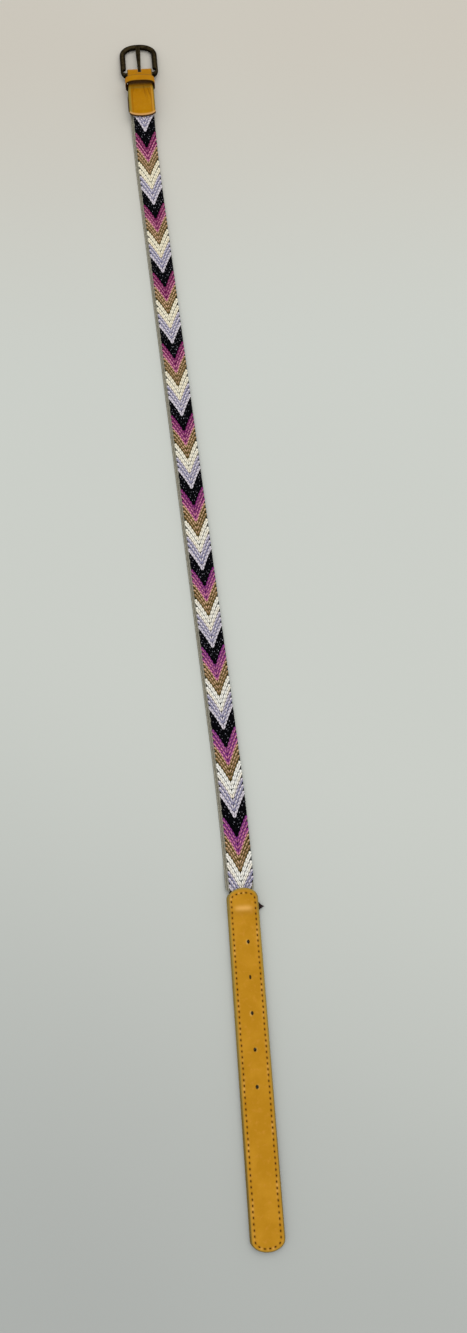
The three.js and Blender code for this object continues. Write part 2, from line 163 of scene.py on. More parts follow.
def lay(station):
    """Centre line of the strap: straight lines and circular arcs end to end, each arc's chord
    turned by half its bend. Gives x, y and heading from the bar."""
    s = np.asarray(station, float)
    x, y, heading = np.zeros_like(s), np.full_like(s, -LAY[0][0]), np.zeros_like(s)
    for start, end, turn in LAY:
        run = np.clip(s, start, end) - start
        bend = turn * run / (end - start)
        chord = run * np.sinc(bend / (2 * np.pi))
        x = x + chord * np.sin(heading + bend / 2)
        y = y - chord * np.cos(heading + bend / 2)
        heading = heading + bend
    return x, y, heading


def strap(station, across, height):
    """Point of the strap: the centre line's point, moved across at a right angle, at a height."""
    station, across, height = np.broadcast_arrays(station, across, height)
    x, y, heading = lay(station)
    return np.stack([BAR[0] + x + across * np.cos(heading),
                     BAR[1] + y + across * np.sin(heading), height.astype(float)], -1)


def band_floor(station):
    """Height of the band's underside: high in the folded leather, on the table, up into the tip."""
    down = (LEATHER + GAP) * (1 - smooth(station, *DESCENT))
    return down + TIP_LOW * smooth(station, *ASCENT)


def band_press(station):
    """How far the tip's leathers press the band: 0 free, 1 pressed."""
    return smooth(station, *PRESS)


def superround(angle, power):
    """Cosine and sine of a superellipse: each raised to 2 over the power, keeping its sign."""
    c, s = np.cos(angle), np.sin(angle)
    return (np.sign(c) * np.abs(c) ** (2 / power), np.sign(s) * np.abs(s) ** (2 / power))


# Meshes


def in_scene(name, data):
    """An object of the scene that shows a mesh, a light or a camera."""
    made = bpy.data.objects.new(name, data)
    bpy.context.scene.collection.objects.link(made)
    return made


def piece(name, points, faces, material, body, uv=None, tags=None, merge=False):
    """A mesh object from points in millimetres and a list of face arrays. uv holds one pair for
    each corner of each face array, tags one value for each point."""
    mesh = bpy.data.meshes.new(name)
    corners = np.concatenate([f.ravel() for f in faces]).astype(np.int32)
    sizes = np.concatenate([np.full(len(f), f.shape[1], np.int32) for f in faces])
    mesh.vertices.add(len(points))
    mesh.vertices.foreach_set("co", (points * MM).astype(np.float32).ravel())
    mesh.loops.add(len(corners))
    mesh.loops.foreach_set("vertex_index", corners)
    mesh.polygons.add(len(sizes))
    starts = np.concatenate([[0], np.cumsum(sizes)[:-1]]).astype(np.int32)
    mesh.polygons.foreach_set("loop_start", starts)
    mesh.polygons.foreach_set("use_smooth", np.ones(len(sizes), bool))
    if uv is not None:
        layer = mesh.uv_layers.new(name="Strand")
        flat = np.concatenate([u.reshape(-1, 2) for u in uv]).astype(np.float32)
        layer.data.foreach_set("uv", flat.ravel())
    for label, values in (tags or {}).items():
        attribute = mesh.attributes.new(label, "FLOAT", "POINT")
        attribute.data.foreach_set("value", np.asarray(values, np.float32).ravel())
    mesh.update(calc_edges=True)
    if merge:
        tidy = bmesh.new()
        tidy.from_mesh(mesh)
        bmesh.ops.remove_doubles(tidy, verts=tidy.verts, dist=1e-6)
        bmesh.ops.dissolve_degenerate(tidy, edges=tidy.edges, dist=1e-7)
        bmesh.ops.recalc_face_normals(tidy, faces=tidy.faces)
        tidy.to_mesh(mesh)
        tidy.free()
    mesh.validate()
    mesh.materials.append(material)
    made = in_scene(name, mesh)
    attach(made, body)
    return made


def tubes(rings, along=None, loop=False):
    """Skins of many tubes at once. rings is tubes by rings by points by 3, and each ring closes.
    A tube is capped at both ends round a middle point, or closes on itself if loop. The faces of
    a tube that would enclose a negative volume are turned round. Gives points, faces and uv."""
    count, length, around = rings.shape[:3]
    base = np.arange(count * length * around).reshape(count, length, around)
    ahead = np.roll(base, -1, 1) if loop else base[:, 1:]
    here = base if loop else base[:, :-1]
    quads = np.stack([here, np.roll(here, -1, 2), np.roll(ahead, -1, 2), ahead], -1)
    if along is None:
        along = np.broadcast_to(np.arange(length), (count, length))
    u = np.arange(around) / around
    v0 = along if loop else along[:, :-1]
    v1 = np.roll(along, -1, 1) if loop else along[:, 1:]
    shape = v0.shape + (around,)
    corner_u = [u, u + 1 / around, u + 1 / around, u]
    corner_v = [v0, v0, v1, v1]
    uv = np.stack([np.stack([np.broadcast_to(a, shape), np.broadcast_to(b[..., None], shape)], -1)
                   for a, b in zip(corner_u, corner_v)], -2)
    points = rings.reshape(-1, 3)
    middle = rings.reshape(count, -1, 3).mean(1)
    p = points[quads] - middle[:, None, None, None, :]
    volume = np.einsum("...i,...i", p[..., 0, :], np.cross(p[..., 1, :], p[..., 2, :]))
    volume = volume + np.einsum("...i,...i", p[..., 0, :], np.cross(p[..., 2, :], p[..., 3, :]))
    inside_out = volume.reshape(count, -1).sum(1) < 0
    quads[inside_out] = quads[inside_out][..., ::-1]
    uv[inside_out] = uv[inside_out][..., ::-1, :]
    faces, uvs = [quads.reshape(-1, 4)], [uv.reshape(-1, 4, 2)]
    if not loop:
        poles = np.stack([rings[:, 0].mean(1), rings[:, -1].mean(1)], 1)
        first = len(points) + 2 * np.arange(count)
        points = np.concatenate([points, poles.reshape(-1, 3)])
        for end, turn in ((0, False), (-1, True)):
            ring = base[:, end]
            pole = np.broadcast_to((first - end)[:, None], ring.shape)
            caps = np.stack([pole, np.roll(ring, -1, 1), ring], -1)
            flip = inside_out != turn
            caps[flip] = caps[flip][..., ::-1]
            faces.append(caps.reshape(-1, 3))
            cap_v = np.broadcast_to(along[:, end][:, None], ring.shape)
            cap_u = np.broadcast_to(u, ring.shape)
            uvs.append(np.repeat(np.stack([cap_u, cap_v], -1).reshape(-1, 1, 2), 3, 1))
    return points, faces, uvs


def slab(top, bottom, keep):
    """Closed skin of a sheet: the kept cells of its top and bottom grids, and a wall along every
    edge that only one kept cell has. Gives points and faces."""
    rows, columns = top.shape[:2]
    index = np.arange(rows * columns).reshape(rows, columns)
    cells = np.stack([index[:-1, :-1], index[1:, :-1], index[1:, 1:], index[:-1, 1:]], -1)[keep]
    edges = np.concatenate([cells[:, [i, (i + 1) % 4]] for i in range(4)])
    key = edges.min(1) * index.size + edges.max(1)
    _, inverse, uses = np.unique(key, return_inverse=True, return_counts=True)
    a, b = edges[uses[inverse] == 1].T
    walls = np.stack([b, a, a + index.size, b + index.size], -1)
    points = np.concatenate([top.reshape(-1, 3), bottom.reshape(-1, 3)])
    return points, [np.concatenate([cells, cells[:, ::-1] + index.size, walls])]


def both_faces(top, bottom=None):
    """A tag's values for a slab: those of its top, and the same or another one for its bottom."""
    bottom = top if bottom is None else np.full(top.shape, bottom)
    return np.concatenate([top.ravel(), bottom.ravel()])


def used_only(points, faces, tags):
    """The same mesh without the points that no face uses."""
    used = np.unique(np.concatenate([f.ravel() for f in faces]))
    renumber = np.zeros(len(points), int)
    renumber[used] = np.arange(len(used))
    return points[used], [renumber[f] for f in faces], {k: v[used] for k, v in tags.items()}


# Materials


def rgb(red, green, blue):
    """Display colour, 0 to 255, as linear light with full alpha."""
    c = np.array([red, green, blue]) / 255
    linear = np.where(c <= 0.04045, c / 12.92, ((c + 0.055) / 1.055) ** 2.4)
    return (*[float(x) for x in linear], 1.0)


def add(tree, kind, inputs=None, **settings):
    """A node with its settings, whose inputs are linked to sockets or set to values."""
    node = tree.nodes.new(kind)
    for key, value in settings.items():
        setattr(node, key, value)
    for key, value in (inputs or {}).items():
        if isinstance(value, bpy.types.NodeSocket):
            tree.links.new(value, node.inputs[key])
        else:
            node.inputs[key].default_value = value
    return node


def place_of(tree):
    """Where a point lies on its piece, in Object coordinates."""
    return add(tree, "ShaderNodeTexCoord").outputs["Object"]


def mix(tree, factor, first, second):
    """Colour between first and second by a factor."""
    return add(tree, "ShaderNodeMix", {0: factor, 6: first, 7: second},
               data_type="RGBA").outputs[2]


def ramp(tree, value, low, high, out_low=0.0, out_high=1.0):
    """Value carried from low..high to out_low..out_high with eased ends."""
    node = add(tree, "ShaderNodeMapRange", {0: value, 1: low, 2: high, 3: out_low, 4: out_high},
               interpolation_type="SMOOTHSTEP")
    return node.outputs[0]


def arithmetic(tree, kind, first, second=0.0, third=0.0):
    """One step of arithmetic on values."""
    return add(tree, "ShaderNodeMath", {0: first, 1: second, 2: third}, operation=kind).outputs[0]


def noise(tree, vector, scale, detail=2.0, rough=0.5):
    """Noise at a scale in features per metre, or per unit of a UV map."""
    node = add(tree, "ShaderNodeTexNoise", {"Vector": vector, "Scale": scale, "Detail": detail,
                                            "Roughness": rough})
    return node.outputs["Fac"]


def group(name, inputs, outputs):
    """An empty shader group with named sockets, its input node and its output node."""
    tree = bpy.data.node_groups.new(name, "ShaderNodeTree")
    for direction, sockets in (("INPUT", inputs), ("OUTPUT", outputs)):
        for label, kind in sockets:
            tree.interface.new_socket(label, in_out=direction, socket_type="NodeSocket" + kind)
    return tree, tree.nodes.new("NodeGroupInput").outputs, tree.nodes.new("NodeGroupOutput")


def feed(tree, node, **values):
    """Links values to a group's output sockets."""
    for label, value in values.items():
        tree.links.new(value, node.inputs[label])


def leather_group():
    """Smooth leather: broad mottling, small blotches and pores, and a dark burnished outline."""
    tree, given, out = group(
        "Leather skin",
        [("Colour", "Color"), ("Dark", "Color"), ("Light", "Color"), ("Burnish", "Color"),
         ("Inset", "Float")],
        [("Colour", "Color"), ("Roughness", "Float"), ("Height", "Float")])
    place = place_of(tree)
    broad = ramp(tree, noise(tree, place, 70, 3), 0.36, 0.66)
    patch = ramp(tree, noise(tree, place, 260, 4, 0.6), 0.5, 0.75)
    speck = ramp(tree, noise(tree, place, 1400, 2), 0.6, 0.8)
    colour = mix(tree, arithmetic(tree, "MULTIPLY_ADD", broad, 0.6, 0.4), given["Dark"],
                 given["Colour"])
    colour = mix(tree, arithmetic(tree, "MULTIPLY", patch, 0.55), colour, given["Light"])
    colour = mix(tree, arithmetic(tree, "MULTIPLY", speck, 0.35), colour, given["Dark"])
    outline = ramp(tree, given["Inset"], 0.4, 1.1, 1.0, 0.0)
    colour = mix(tree, outline, colour, given["Burnish"])
    rough = ramp(tree, noise(tree, place, 420, 3), 0.3, 0.7, 0.42, 0.58)
    pores = noise(tree, place, 2600, 2)
    folds = noise(tree, place, 330, 3, 0.6)
    height = arithmetic(tree, "MULTIPLY_ADD", folds, 2.0, pores)
    feed(tree, out, Colour=colour, Roughness=rough, Height=height)
    return tree


def yarn_group():
    """Spun yarn: a shade between two colours, a slanting twist, and painted shade on its flanks, in
    its twist and where it dips between stitches."""
    tree, given, out = group(
        "Spun yarn",
        [("Colour", "Color"), ("Other", "Color"), ("Shadow", "Color"), ("Shade", "Float"),
         ("Sink", "Float"), ("Twist", "Float")],
        [("Colour", "Color"), ("Height", "Float")])
    strand = add(tree, "ShaderNodeUVMap", uv_map="Strand").outputs[0]
    split = add(tree, "ShaderNodeSeparateXYZ", {0: strand}).outputs
    turn = arithmetic(tree, "MULTIPLY_ADD", split[1], given["Twist"],
                      arithmetic(tree, "MULTIPLY", split[0], 4 * math.tau))
    twist = arithmetic(tree, "SINE", turn)
    place = place_of(tree)
    broad = noise(tree, place, 160, 2)
    fuzz = noise(tree, place, 3500, 3)
    shade = arithmetic(tree, "ADD", given["Shade"],
                       arithmetic(tree, "MULTIPLY_ADD", broad, 0.7, -0.35))
    shade = add(tree, "ShaderNodeClamp", {0: shade}).outputs[0]
    colour = mix(tree, shade, given["Colour"], given["Other"])
    # Painted shade: the flanks, the twist's grooves and the dips between stitches take a darker colour
    groove = ramp(tree, twist, -1.0, 0.2, 0.25, 0.0)
    crown = arithmetic(tree, "SINE", arithmetic(tree, "MULTIPLY", split[0], math.tau))
    flank_shade = ramp(tree, crown, -0.3, 0.8, 0.8, 0.0)
    sunk = ramp(tree, given["Sink"], 0.35, 0.95)
    deep = arithmetic(tree, "MAXIMUM", flank_shade, arithmetic(tree, "MAXIMUM", groove, sunk))
    colour = mix(tree, deep, colour, given["Shadow"])
    height = arithmetic(tree, "MULTIPLY_ADD", fuzz, 0.8, twist)
    feed(tree, out, Colour=colour, Height=height)
    return tree


def shader(name, **values):
    """A material whose Principled shader has constant values on its own sockets."""
    material = bpy.data.materials.new(name)
    material.use_nodes = True
    principled = material.node_tree.nodes["Principled BSDF"]
    for label, value in values.items():
        principled.inputs[label.replace("_", " ")].default_value = value
    return material, material.node_tree, principled


def wear(tree, principled, colour=None, roughness=None, height=None, depth=0.0):
    """Feeds a colour, a roughness and a bump height into a Principled shader."""
    if colour is not None:
        tree.links.new(colour, principled.inputs["Base Color"])
    if roughness is not None:
        tree.links.new(roughness, principled.inputs["Roughness"])
    if height is not None:
        bump = add(tree, "ShaderNodeBump", {"Height": height, "Distance": depth, "Strength": 1.0})
        tree.links.new(bump.outputs[0], principled.inputs["Normal"])


def tag(tree, name):
    """A value stored on a piece's points."""
    return add(tree, "ShaderNodeAttribute", attribute_name=name).outputs["Fac"]


def leather(name, skin, **tones):
    """Leather with tones laid over its skin by the piece's own tags: painted shade on a rim, painted
    highlights, painted shade in pits, raw cut edges with a painted highlight, and painted shadow."""
    colours = {label: rgb(*tone) for label, tone in tones.items()}
    material, tree, principled = shader(name, Specular_IOR_Level=0.12,
                                        Specular_Tint=(0.9, 0.55, 0.12, 1.0))
    made = add(tree, "ShaderNodeGroup", node_tree=skin)
    for label in ("Colour", "Dark", "Light", "Burnish"):
        made.inputs[label].default_value = colours[label.lower()]
    tree.links.new(tag(tree, "inset"), made.inputs["Inset"])
    tone = made.outputs["Colour"]
    for label in ("rim", "puff", "pit", "raw", "grime"):
        tone = mix(tree, tag(tree, label), tone, colours[label])
    wear(tree, principled, tone, made.outputs["Roughness"], made.outputs["Height"], 0.00006)
    return material


def yarn(name, spun, colour, other, deep, near_tip=None, shine=0.1):
    """Yarn of one colour, straying towards another by each strand's shade. It may be of a third
    colour near the tip."""
    material, tree, principled = shader(name, Roughness=0.85, Specular_IOR_Level=shine)
    made = add(tree, "ShaderNodeGroup", node_tree=spun)
    # The third colour is the painted shade on the yarn's flanks, grooves and dips
    for label, value in (("Colour", colour), ("Other", other), ("Shadow", deep),
                         ("Twist", TWIST)):
        made.inputs[label].default_value = value
    if near_tip:
        place = place_of(tree)
        down = add(tree, "ShaderNodeSeparateXYZ", {0: place}).outputs[1]
        tree.links.new(mix(tree, ramp(tree, down, 0.3, -0.2), colour, near_tip),
                       made.inputs["Colour"])
    tree.links.new(tag(tree, "shade"), made.inputs["Shade"])
    tree.links.new(tag(tree, "sink"), made.inputs["Sink"])
    wear(tree, principled, made.outputs["Colour"], None, made.outputs["Height"], 0.00008)
    return material


def suede():
    """Matte grey-beige strip with painted shade along its outline and its lengthwise groove, and a
    fine nap.
    """
    material, tree, principled = shader("suede", Roughness=0.95, Specular_IOR_Level=0.1)
    place = place_of(tree)
    nap = noise(tree, place, 900, 4, 0.65)
    colour = mix(tree, ramp(tree, nap, 0.3, 0.7), rgb(136, 132, 118), rgb(178, 172, 156))
    # Painted shade along the outline and in the groove
    colour = mix(tree, tag(tree, "line"), colour, rgb(84, 78, 62))
    wear(tree, principled, colour, None, nap, 0.00015)
    return material


def gunmetal():
    """Dark antique metal: near black in the hollows, bronze where it is rubbed, which also stands as a
    painted highlight along the top and the bevels.
    """
    material, tree, principled = shader("gunmetal", Metallic=0.85, Specular_IOR_Level=0.15,
                                        Specular_Tint=(0.3, 0.25, 0.18, 1.0))
    place = place_of(tree)
    patina = noise(tree, place, 380, 4, 0.6)
    # Worn bronze that also stands as a painted highlight on the top and bevels
    wear_and_sheen = arithmetic(tree, "MULTIPLY", tag(tree, "rub_and_sheen"), ramp(tree, patina, 0.25, 0.6))
    colour = mix(tree, ramp(tree, patina, 0.35, 0.7), rgb(16, 12, 5), rgb(38, 31, 18))
    colour = mix(tree, wear_and_sheen, colour, rgb(84, 72, 48))
    rough = ramp(tree, noise(tree, place, 900, 3), 0.3, 0.7, 0.28, 0.42)
    wear(tree, principled, colour, rough, patina, 0.00004)
    return material


def plain_thread(name, colour, other):
    """Waxed thread or raw fibre, mottled between two colours."""
    material, tree, principled = shader(name, Roughness=0.8, Specular_IOR_Level=0.08)
    place = place_of(tree)
    grain = noise(tree, place, 1500, 3)
    colour = mix(tree, ramp(tree, grain, 0.35, 0.65), colour, other)
    wear(tree, principled, colour, None, grain, 0.0001)
    return material


def table_top():
    """Pale backdrop, softly clouded, warmer towards the buckle and greyer towards the tip."""
    material, tree, principled = shader("table_top", Roughness=0.9, Specular_IOR_Level=0.1)
    place = place_of(tree)
    cloud = noise(tree, place, 3, 2)
    split = add(tree, "ShaderNodeSeparateXYZ", {0: place}).outputs
    slant = arithmetic(tree, "MULTIPLY_ADD", split[0], 0.5, split[1])
    colour = mix(tree, ramp(tree, slant, -0.68, -0.1), rgb(168, 169, 167), rgb(198, 199, 194))
    colour = mix(tree, ramp(tree, split[1], 0.15, 0.55), colour, rgb(196, 188, 178))
    colour = mix(tree, arithmetic(tree, "MULTIPLY", cloud, 0.2), colour, rgb(208, 212, 206))
    wear(tree, principled, colour)
    return material


SKIN, SPUN = leather_group(), yarn_group()
# Besides the skin's colours, each leather has colours for painted shade on rims, painted highlights,
# painted shade in pits, a lit raw edge and painted shadow
TIP_LEATHER = leather(
    "tip_leather", SKIN, colour=(190, 134, 34), dark=(174, 120, 20), light=(200, 138, 50),
    burnish=(92, 68, 32), rim=(156, 130, 60), puff=(236, 178, 96), pit=(70, 34, 2),
    raw=(242, 192, 104), grime=(48, 26, 4))
CHAPE_LEATHER = leather(
    "chape_leather", SKIN, colour=(172, 115, 0), dark=(162, 103, 0), light=(180, 126, 14),
    burnish=(96, 72, 24), rim=(134, 118, 50), puff=(208, 154, 66), pit=(112, 60, 0),
    raw=(220, 168, 110), grime=(44, 12, 2))
# Each yarn: its colour, the colour its strands stray to, and the colour of its painted shade
YARNS = {
    "black": yarn("black_yarn", SPUN, rgb(4, 3, 7), rgb(12, 12, 18), rgb(1, 1, 2), shine=0.04),
    "purple": yarn("purple_yarn", SPUN, rgb(128, 24, 90), rgb(232, 146, 176), rgb(48, 6, 42),
                   near_tip=rgb(140, 54, 138)),
    "tan": yarn("tan_yarn", SPUN, rgb(106, 86, 34), rgb(226, 184, 146), rgb(52, 36, 10)),
    "cream": yarn("cream_yarn", SPUN, rgb(255, 246, 222), rgb(250, 226, 186), rgb(56, 38, 18),
                  near_tip=rgb(255, 252, 246)),
    "lavender": yarn("lavender_yarn", SPUN, rgb(234, 224, 232), rgb(148, 144, 176),
                     rgb(72, 70, 92)),
}
SUEDE, GUNMETAL = suede(), gunmetal()
CORE = plain_thread("core_yarn", rgb(10, 8, 10), rgb(22, 18, 18))
THREAD = plain_thread("brown_thread", rgb(40, 18, 2), rgb(70, 34, 6))
FRAY = plain_thread("frayed_yarn", rgb(20, 14, 14), rgb(52, 34, 34))
# Pale grey for the specks and for the painted glints
SPECK_AND_GLINT = plain_thread("grey_speck_and_glint", rgb(100, 98, 108), rgb(158, 154, 164))


# Woven band


def arm_rise(out):
    """How far a row climbs towards the buckle at a distance out from the V's centre: a steep
    straight climb less a cube, so that it flattens at the edge."""
    return ARM_SLOPE * out - ARM_EASE * out ** 3


def strand_path():
    """One ply's way in section: a half turn round the band's edge, then a row of humps, one to a
    stitch, and a dive at the V's centre. Gives a parameter from 0 to 1 and along it out, height,
    the two parts of the normal, how far up a hump it is and how slim it is at the edge."""
    turn = (BAND_THICK - 2 * PLY_HEIGHT) / 2
    edge = ARM_REACH - turn - PLY_HEIGHT
    theta = np.radians(np.linspace(-100, 90, EDGE_STEPS, endpoint=False))
    out = np.concatenate([edge + turn * np.cos(theta), np.linspace(edge, TOP_END, TOP_STEPS)])
    height = np.full_like(out, BAND_THICK - PLY_HEIGHT)
    height[:EDGE_STEPS] = BAND_THICK / 2 + turn * np.sin(theta)
    phase = (STITCH_FROM - out) / STITCH
    hump = np.abs(np.sin(np.pi * phase)) ** 2
    hump[:EDGE_STEPS] = 1.0
    hump[EDGE_STEPS:][phase[EDGE_STEPS:] < 0.5] = 1.0
    dive = 1 - smooth(out, TOP_END, DIVE_FROM)
    height[EDGE_STEPS:] -= (HUMP_DIP * (1 - hump) + DIVE_DEPTH * dive)[EDGE_STEPS:]
    step_out, step_up = np.gradient(out), np.gradient(height)
    size = np.hypot(step_out, step_up)
    travelled = np.cumsum(size)
    slim = 1 - EDGE_SLIM * smooth(out, edge - 0.4, edge + turn)
    return travelled / travelled[-1], out, height, step_up / size, -step_out / size, hump, slim


def strand_list():
    """Every ply of the band by colour: the station of its centre line at the V's centre, the
    length of its row along the strap, which side of the row it is on and its number."""
    total = sum(length for _, length, _ in BANDS)
    strands = {name: [] for name, _, _ in BANDS}
    start = FIRST_TURN
    for repeat in REPEATS:
        for name, length, rows in BANDS:
            row = length / total * repeat / rows
            for index in range(rows * PLIES):
                middle = start + (index // PLIES + 0.5) * row
                strands[name].append((middle, row, 2 * (index % PLIES) - 1, index))
            start += rows * row
    return strands


def strand_shade(name, index):
    """How far each ply of a chevron strays to its yarn's second colour, with a little chance."""
    plain = {"purple": [0.0, 0.4, 0.0, 0.75, 0.1, 0.95], "tan": [0.9, 0.0, 0.85, 0.1, 0.65, 0.0],
             "lavender": [0.1, 0.9, 0.0, 0.9, 0.2, 0.0], "cream": [0.2, 0.0, 0.0, 0.3],
             "black": [0.1, 0.4, 0.3, 0.2]}[name]
    return np.array(plain)[index] + RNG.uniform(-0.1, 0.1, len(index))


def band_point(station, across, height):
    """Point of the band from its height over the yarns' underside, pressed thin and drawn in
    where the tip's leathers hold it."""
    press = band_press(station)
    scale = 1 + (BAND_PRESSED / BAND_THICK - 1) * press
    draw_in = 1 - (1 - BAND_TUCK / BAND_RIGHT) * press * (across > 0)
    return strap(station, across * draw_in, band_floor(station) + BAND_LIFT + height * scale)


def yarn_rings(middle, row, side, steps=56, around=8):
    """Rings of the plies of both arms. A ring is an ellipse in the plane of the strap's length and
    the path's normal; it is fuller on the humps and slim between stitches, which opens the holes."""
    t, *path = strand_path()
    room_start = middle - BAND_START
    room_end = middle - BAND_END
    climb = arm_rise(path[0])
    top = np.arange(len(t)) >= EDGE_STEPS
    reach_t = np.interp(-np.minimum(room_start, climb.max()), -climb[top], t[top])
    low = np.where(room_start >= climb.max(), 0.0, reach_t)
    high = np.where(room_end <= 0, 1.0, np.interp(-room_end, -climb[top], t[top]))
    kept = (high - low > 0.15) & (room_start > 0.5) & (room_end < climb.max() - 0.5)
    middle, row, side, low, high = (v[kept] for v in (middle, row, side, low, high))
    at = low[:, None] + (high - low)[:, None] * np.linspace(0, 1, steps)[None, :]
    out, height, normal_out, normal_up, hump, slim = (np.interp(at, t, v) for v in path)
    angle = ring_angles(around)
    cos, sin = np.cos(angle), np.sin(angle)
    half = (row / (2 * PLIES))[:, None] * slim
    aside = side[:, None] * half * (1 - MOVE_IN + MOVE_IN * hump)
    centre = middle[:, None] - arm_rise(out) + aside
    width = half * (0.5 + 0.5 * hump)
    station = centre[..., None] + width[..., None] * cos
    lift = PLY_HEIGHT * (0.8 + 0.2 * hump)[..., None] * sin
    arms = []
    for direction in (-1, 1):
        across = V_CENTRE + direction * (out[..., None] + normal_out[..., None] * lift)
        arms.append(band_point(station, across, height[..., None] + normal_up[..., None] * lift))
    along = np.tile((at - at[:, :1]) * STRAND_LENGTH, (2, 1))
    return np.concatenate(arms), along, np.tile(1 - hump, (2, 1)), kept


def woven_band():
    """The band's yarns, one piece for each colour, over a dark core."""
    for name, rows in strand_list().items():
        middle, row, side, index = (np.array(v) for v in zip(*rows))
        rings, along, sink, kept = yarn_rings(middle, row, side)
        shade = strand_shade(name, index)[kept]
        points, faces, uv = tubes(rings, along)
        shades = np.tile(shade, 2)
        per_point = np.repeat(shades, rings.shape[1] * rings.shape[2])
        sunk = np.repeat(sink.ravel(), rings.shape[2])
        # sink marks where a ply dips between stitches; the yarn's material paints shade there
        tags = {"shade": np.concatenate([per_point, np.repeat(shades, 2)]),
                "sink": np.concatenate([sunk, np.zeros(2 * len(rings))])}
        piece("yarn_" + name, points, faces, YARNS[name], "strap", uv, tags)


def band_core():
    """Dark yarn under the stitches, showing through their holes and between the edge loops: a
    flat strip whose section is a superellipse."""
    left, right = CORE_SIDES
    low, high = CORE_HEIGHTS
    cos, sin = superround(ring_angles(56), 5)
    rings = band_point(np.linspace(BAND_START, BAND_END, 300)[:, None],
                       (left + right) / 2 + (right - left) / 2 * cos,
                       (low + high) / 2 + (high - low) / 2 * sin)
    points, faces, uv = tubes(rings[None])
    made = piece("band_core", points, faces, CORE, "strap", uv)
    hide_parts("woven_band")


def beads(centre, along, across, up):
    """Small ellipsoids, one to each centre, from three half-axes: a sphere's grid of angles."""
    polar = np.clip(np.linspace(0, np.pi, 6), 0.12, np.pi - 0.12)[:, None, None]
    turn = ring_angles(8)[:, None]
    centre, along, across, up = (v[:, None, None, :] for v in (centre, along, across, up))
    return (centre + along * np.cos(polar) + across * np.sin(polar) * np.cos(turn)
            + up * np.sin(polar) * np.sin(turn))


def band_specks_and_glints():
    """Pale dots in the black chevrons: one line of specks between the two rows, in their holes, and
    one of painted glints in the middle of each row, on top."""
    black = BANDS[0][1] / sum(length for _, length, _ in BANDS)
    turns = FIRST_TURN + np.concatenate([[0], np.cumsum(REPEATS)[:-1]])
    out = STITCH_FROM - STITCH * (np.arange(0, 6) + 0.5)
    centres, alongs = [], []
    for share, height, phase in SPECK_AND_GLINT_LINES:
        middle = turns[:, None] + share * black * np.array(REPEATS)[:, None]
        place = out[None, :] - phase * STITCH + RNG.uniform(-0.25, 0.25, (len(turns), len(out)))
        station = middle - arm_rise(place)
        shown = (station > CHAPE_END - 3) & (station < TIP_START + 2) & (place > 0.3)
        for direction in (-1, 1):
            across = V_CENTRE + direction * place
            shown_here = shown & (RNG.random(shown.shape) < SPECK_AND_GLINT_SHARE)
            centres.append(band_point(station, across, 0 * across + height)[shown_here])
            ahead = band_point(station + 0.7, across - direction * 0.3, 0 * across + height)
            alongs.append(ahead[shown_here] - centres[-1])
    centre, along = np.concatenate(centres), np.concatenate(alongs)
    size = RNG.uniform(0.5, 0.85, (len(centre), 1))
    across = np.cross(along, [0, 0, 1]) * 0.5
    up = np.broadcast_to([0, 0, 0.3], centre.shape)
    points, faces, uv = tubes(beads(centre, along * size, across * size, up * size))
    piece("band_specks_and_glints", points, faces, SPECK_AND_GLINT, "strap", uv)


def backing_strip():
    """Thin suede strip under the band, with a groove along the edge that shows."""
    b = BACKING
    stations = np.linspace(b["start"], BAND_END, 420)
    quarter = np.linspace(0, np.pi / 2, 6)
    half = np.concatenate([b["left"] + b["round"] * (1 - np.cos(quarter)),
                           np.linspace(b["left"] + 0.75, -8.0, 16),
                           np.linspace(-7, b["right"] - 0.8, 8),
                           b["right"] - b["round"] * (1 - np.sin(quarter))])
    inset = np.minimum(half - b["left"], b["right"] - half)
    share = rounded(inset, b["round"], 0.1)
    groove = bell(half - b["groove"], b["groove_wide"])
    middle = b["thick"] / 2
    ripple = 0.06 * np.sin(stations * 0.9) + 0.04 * np.sin(stations * 2.3 + 1)
    floor = band_floor(stations)[:, None]
    top = floor + middle + middle * share - b["groove_deep"] * groove
    bottom = floor + middle - middle * share
    across = half[None, :] + ripple[:, None] * (half < -8)[None, :]
    limit = 100 - (100 - BAND_TUCK) * band_press(stations)[:, None]
    across = np.clip(across, -limit, limit)
    grid = stations[:, None] + 0 * across
    points, faces = slab(strap(grid, across, top), strap(grid, across, bottom),
                         np.ones((len(stations) - 1, len(half) - 1), bool))
    # Painted shade along the strip's edges and in its groove
    line = np.maximum(0.75 * groove, np.exp(-inset / 0.3))
    line = np.tile(np.broadcast_to(line, across.shape).ravel(), 2)
    made = piece("backing_strip", points, faces, SUEDE, "strap",
                 tags={"line": line}, merge=True)
    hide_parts("band_backing")


# Leather ends


def rounded(inset, radius, least=0.12):
    """Share of the full thickness at a distance in from the outline: a quarter circle."""
    t = np.clip(inset / radius, 0, 1)
    return least + (1 - least) * np.sqrt(1 - (1 - t) ** 2)


def graded(half, edge=1.2, cell=0.6):
    """Columns across a sheet: even cells, and closer ones along both edges."""
    inner = np.linspace(-(half - edge), half - edge, round(2 * (half - edge) / cell) + 1)
    fine = half - edge * (1 - np.sin(np.linspace(0, np.pi / 2, 7)))[1:]
    return np.concatenate([-fine[::-1], inner, fine])


def tip_half(station):
    """Half-width of the tip leather: straight sides and half ellipses at both ends."""
    into = np.maximum(TIP_START + TIP_ROUND - station, station - TIP_END + TIP_ROUND) / TIP_ROUND
    return TIP_HALF * np.sqrt(1 - np.clip(into, 0, 1) ** 2)


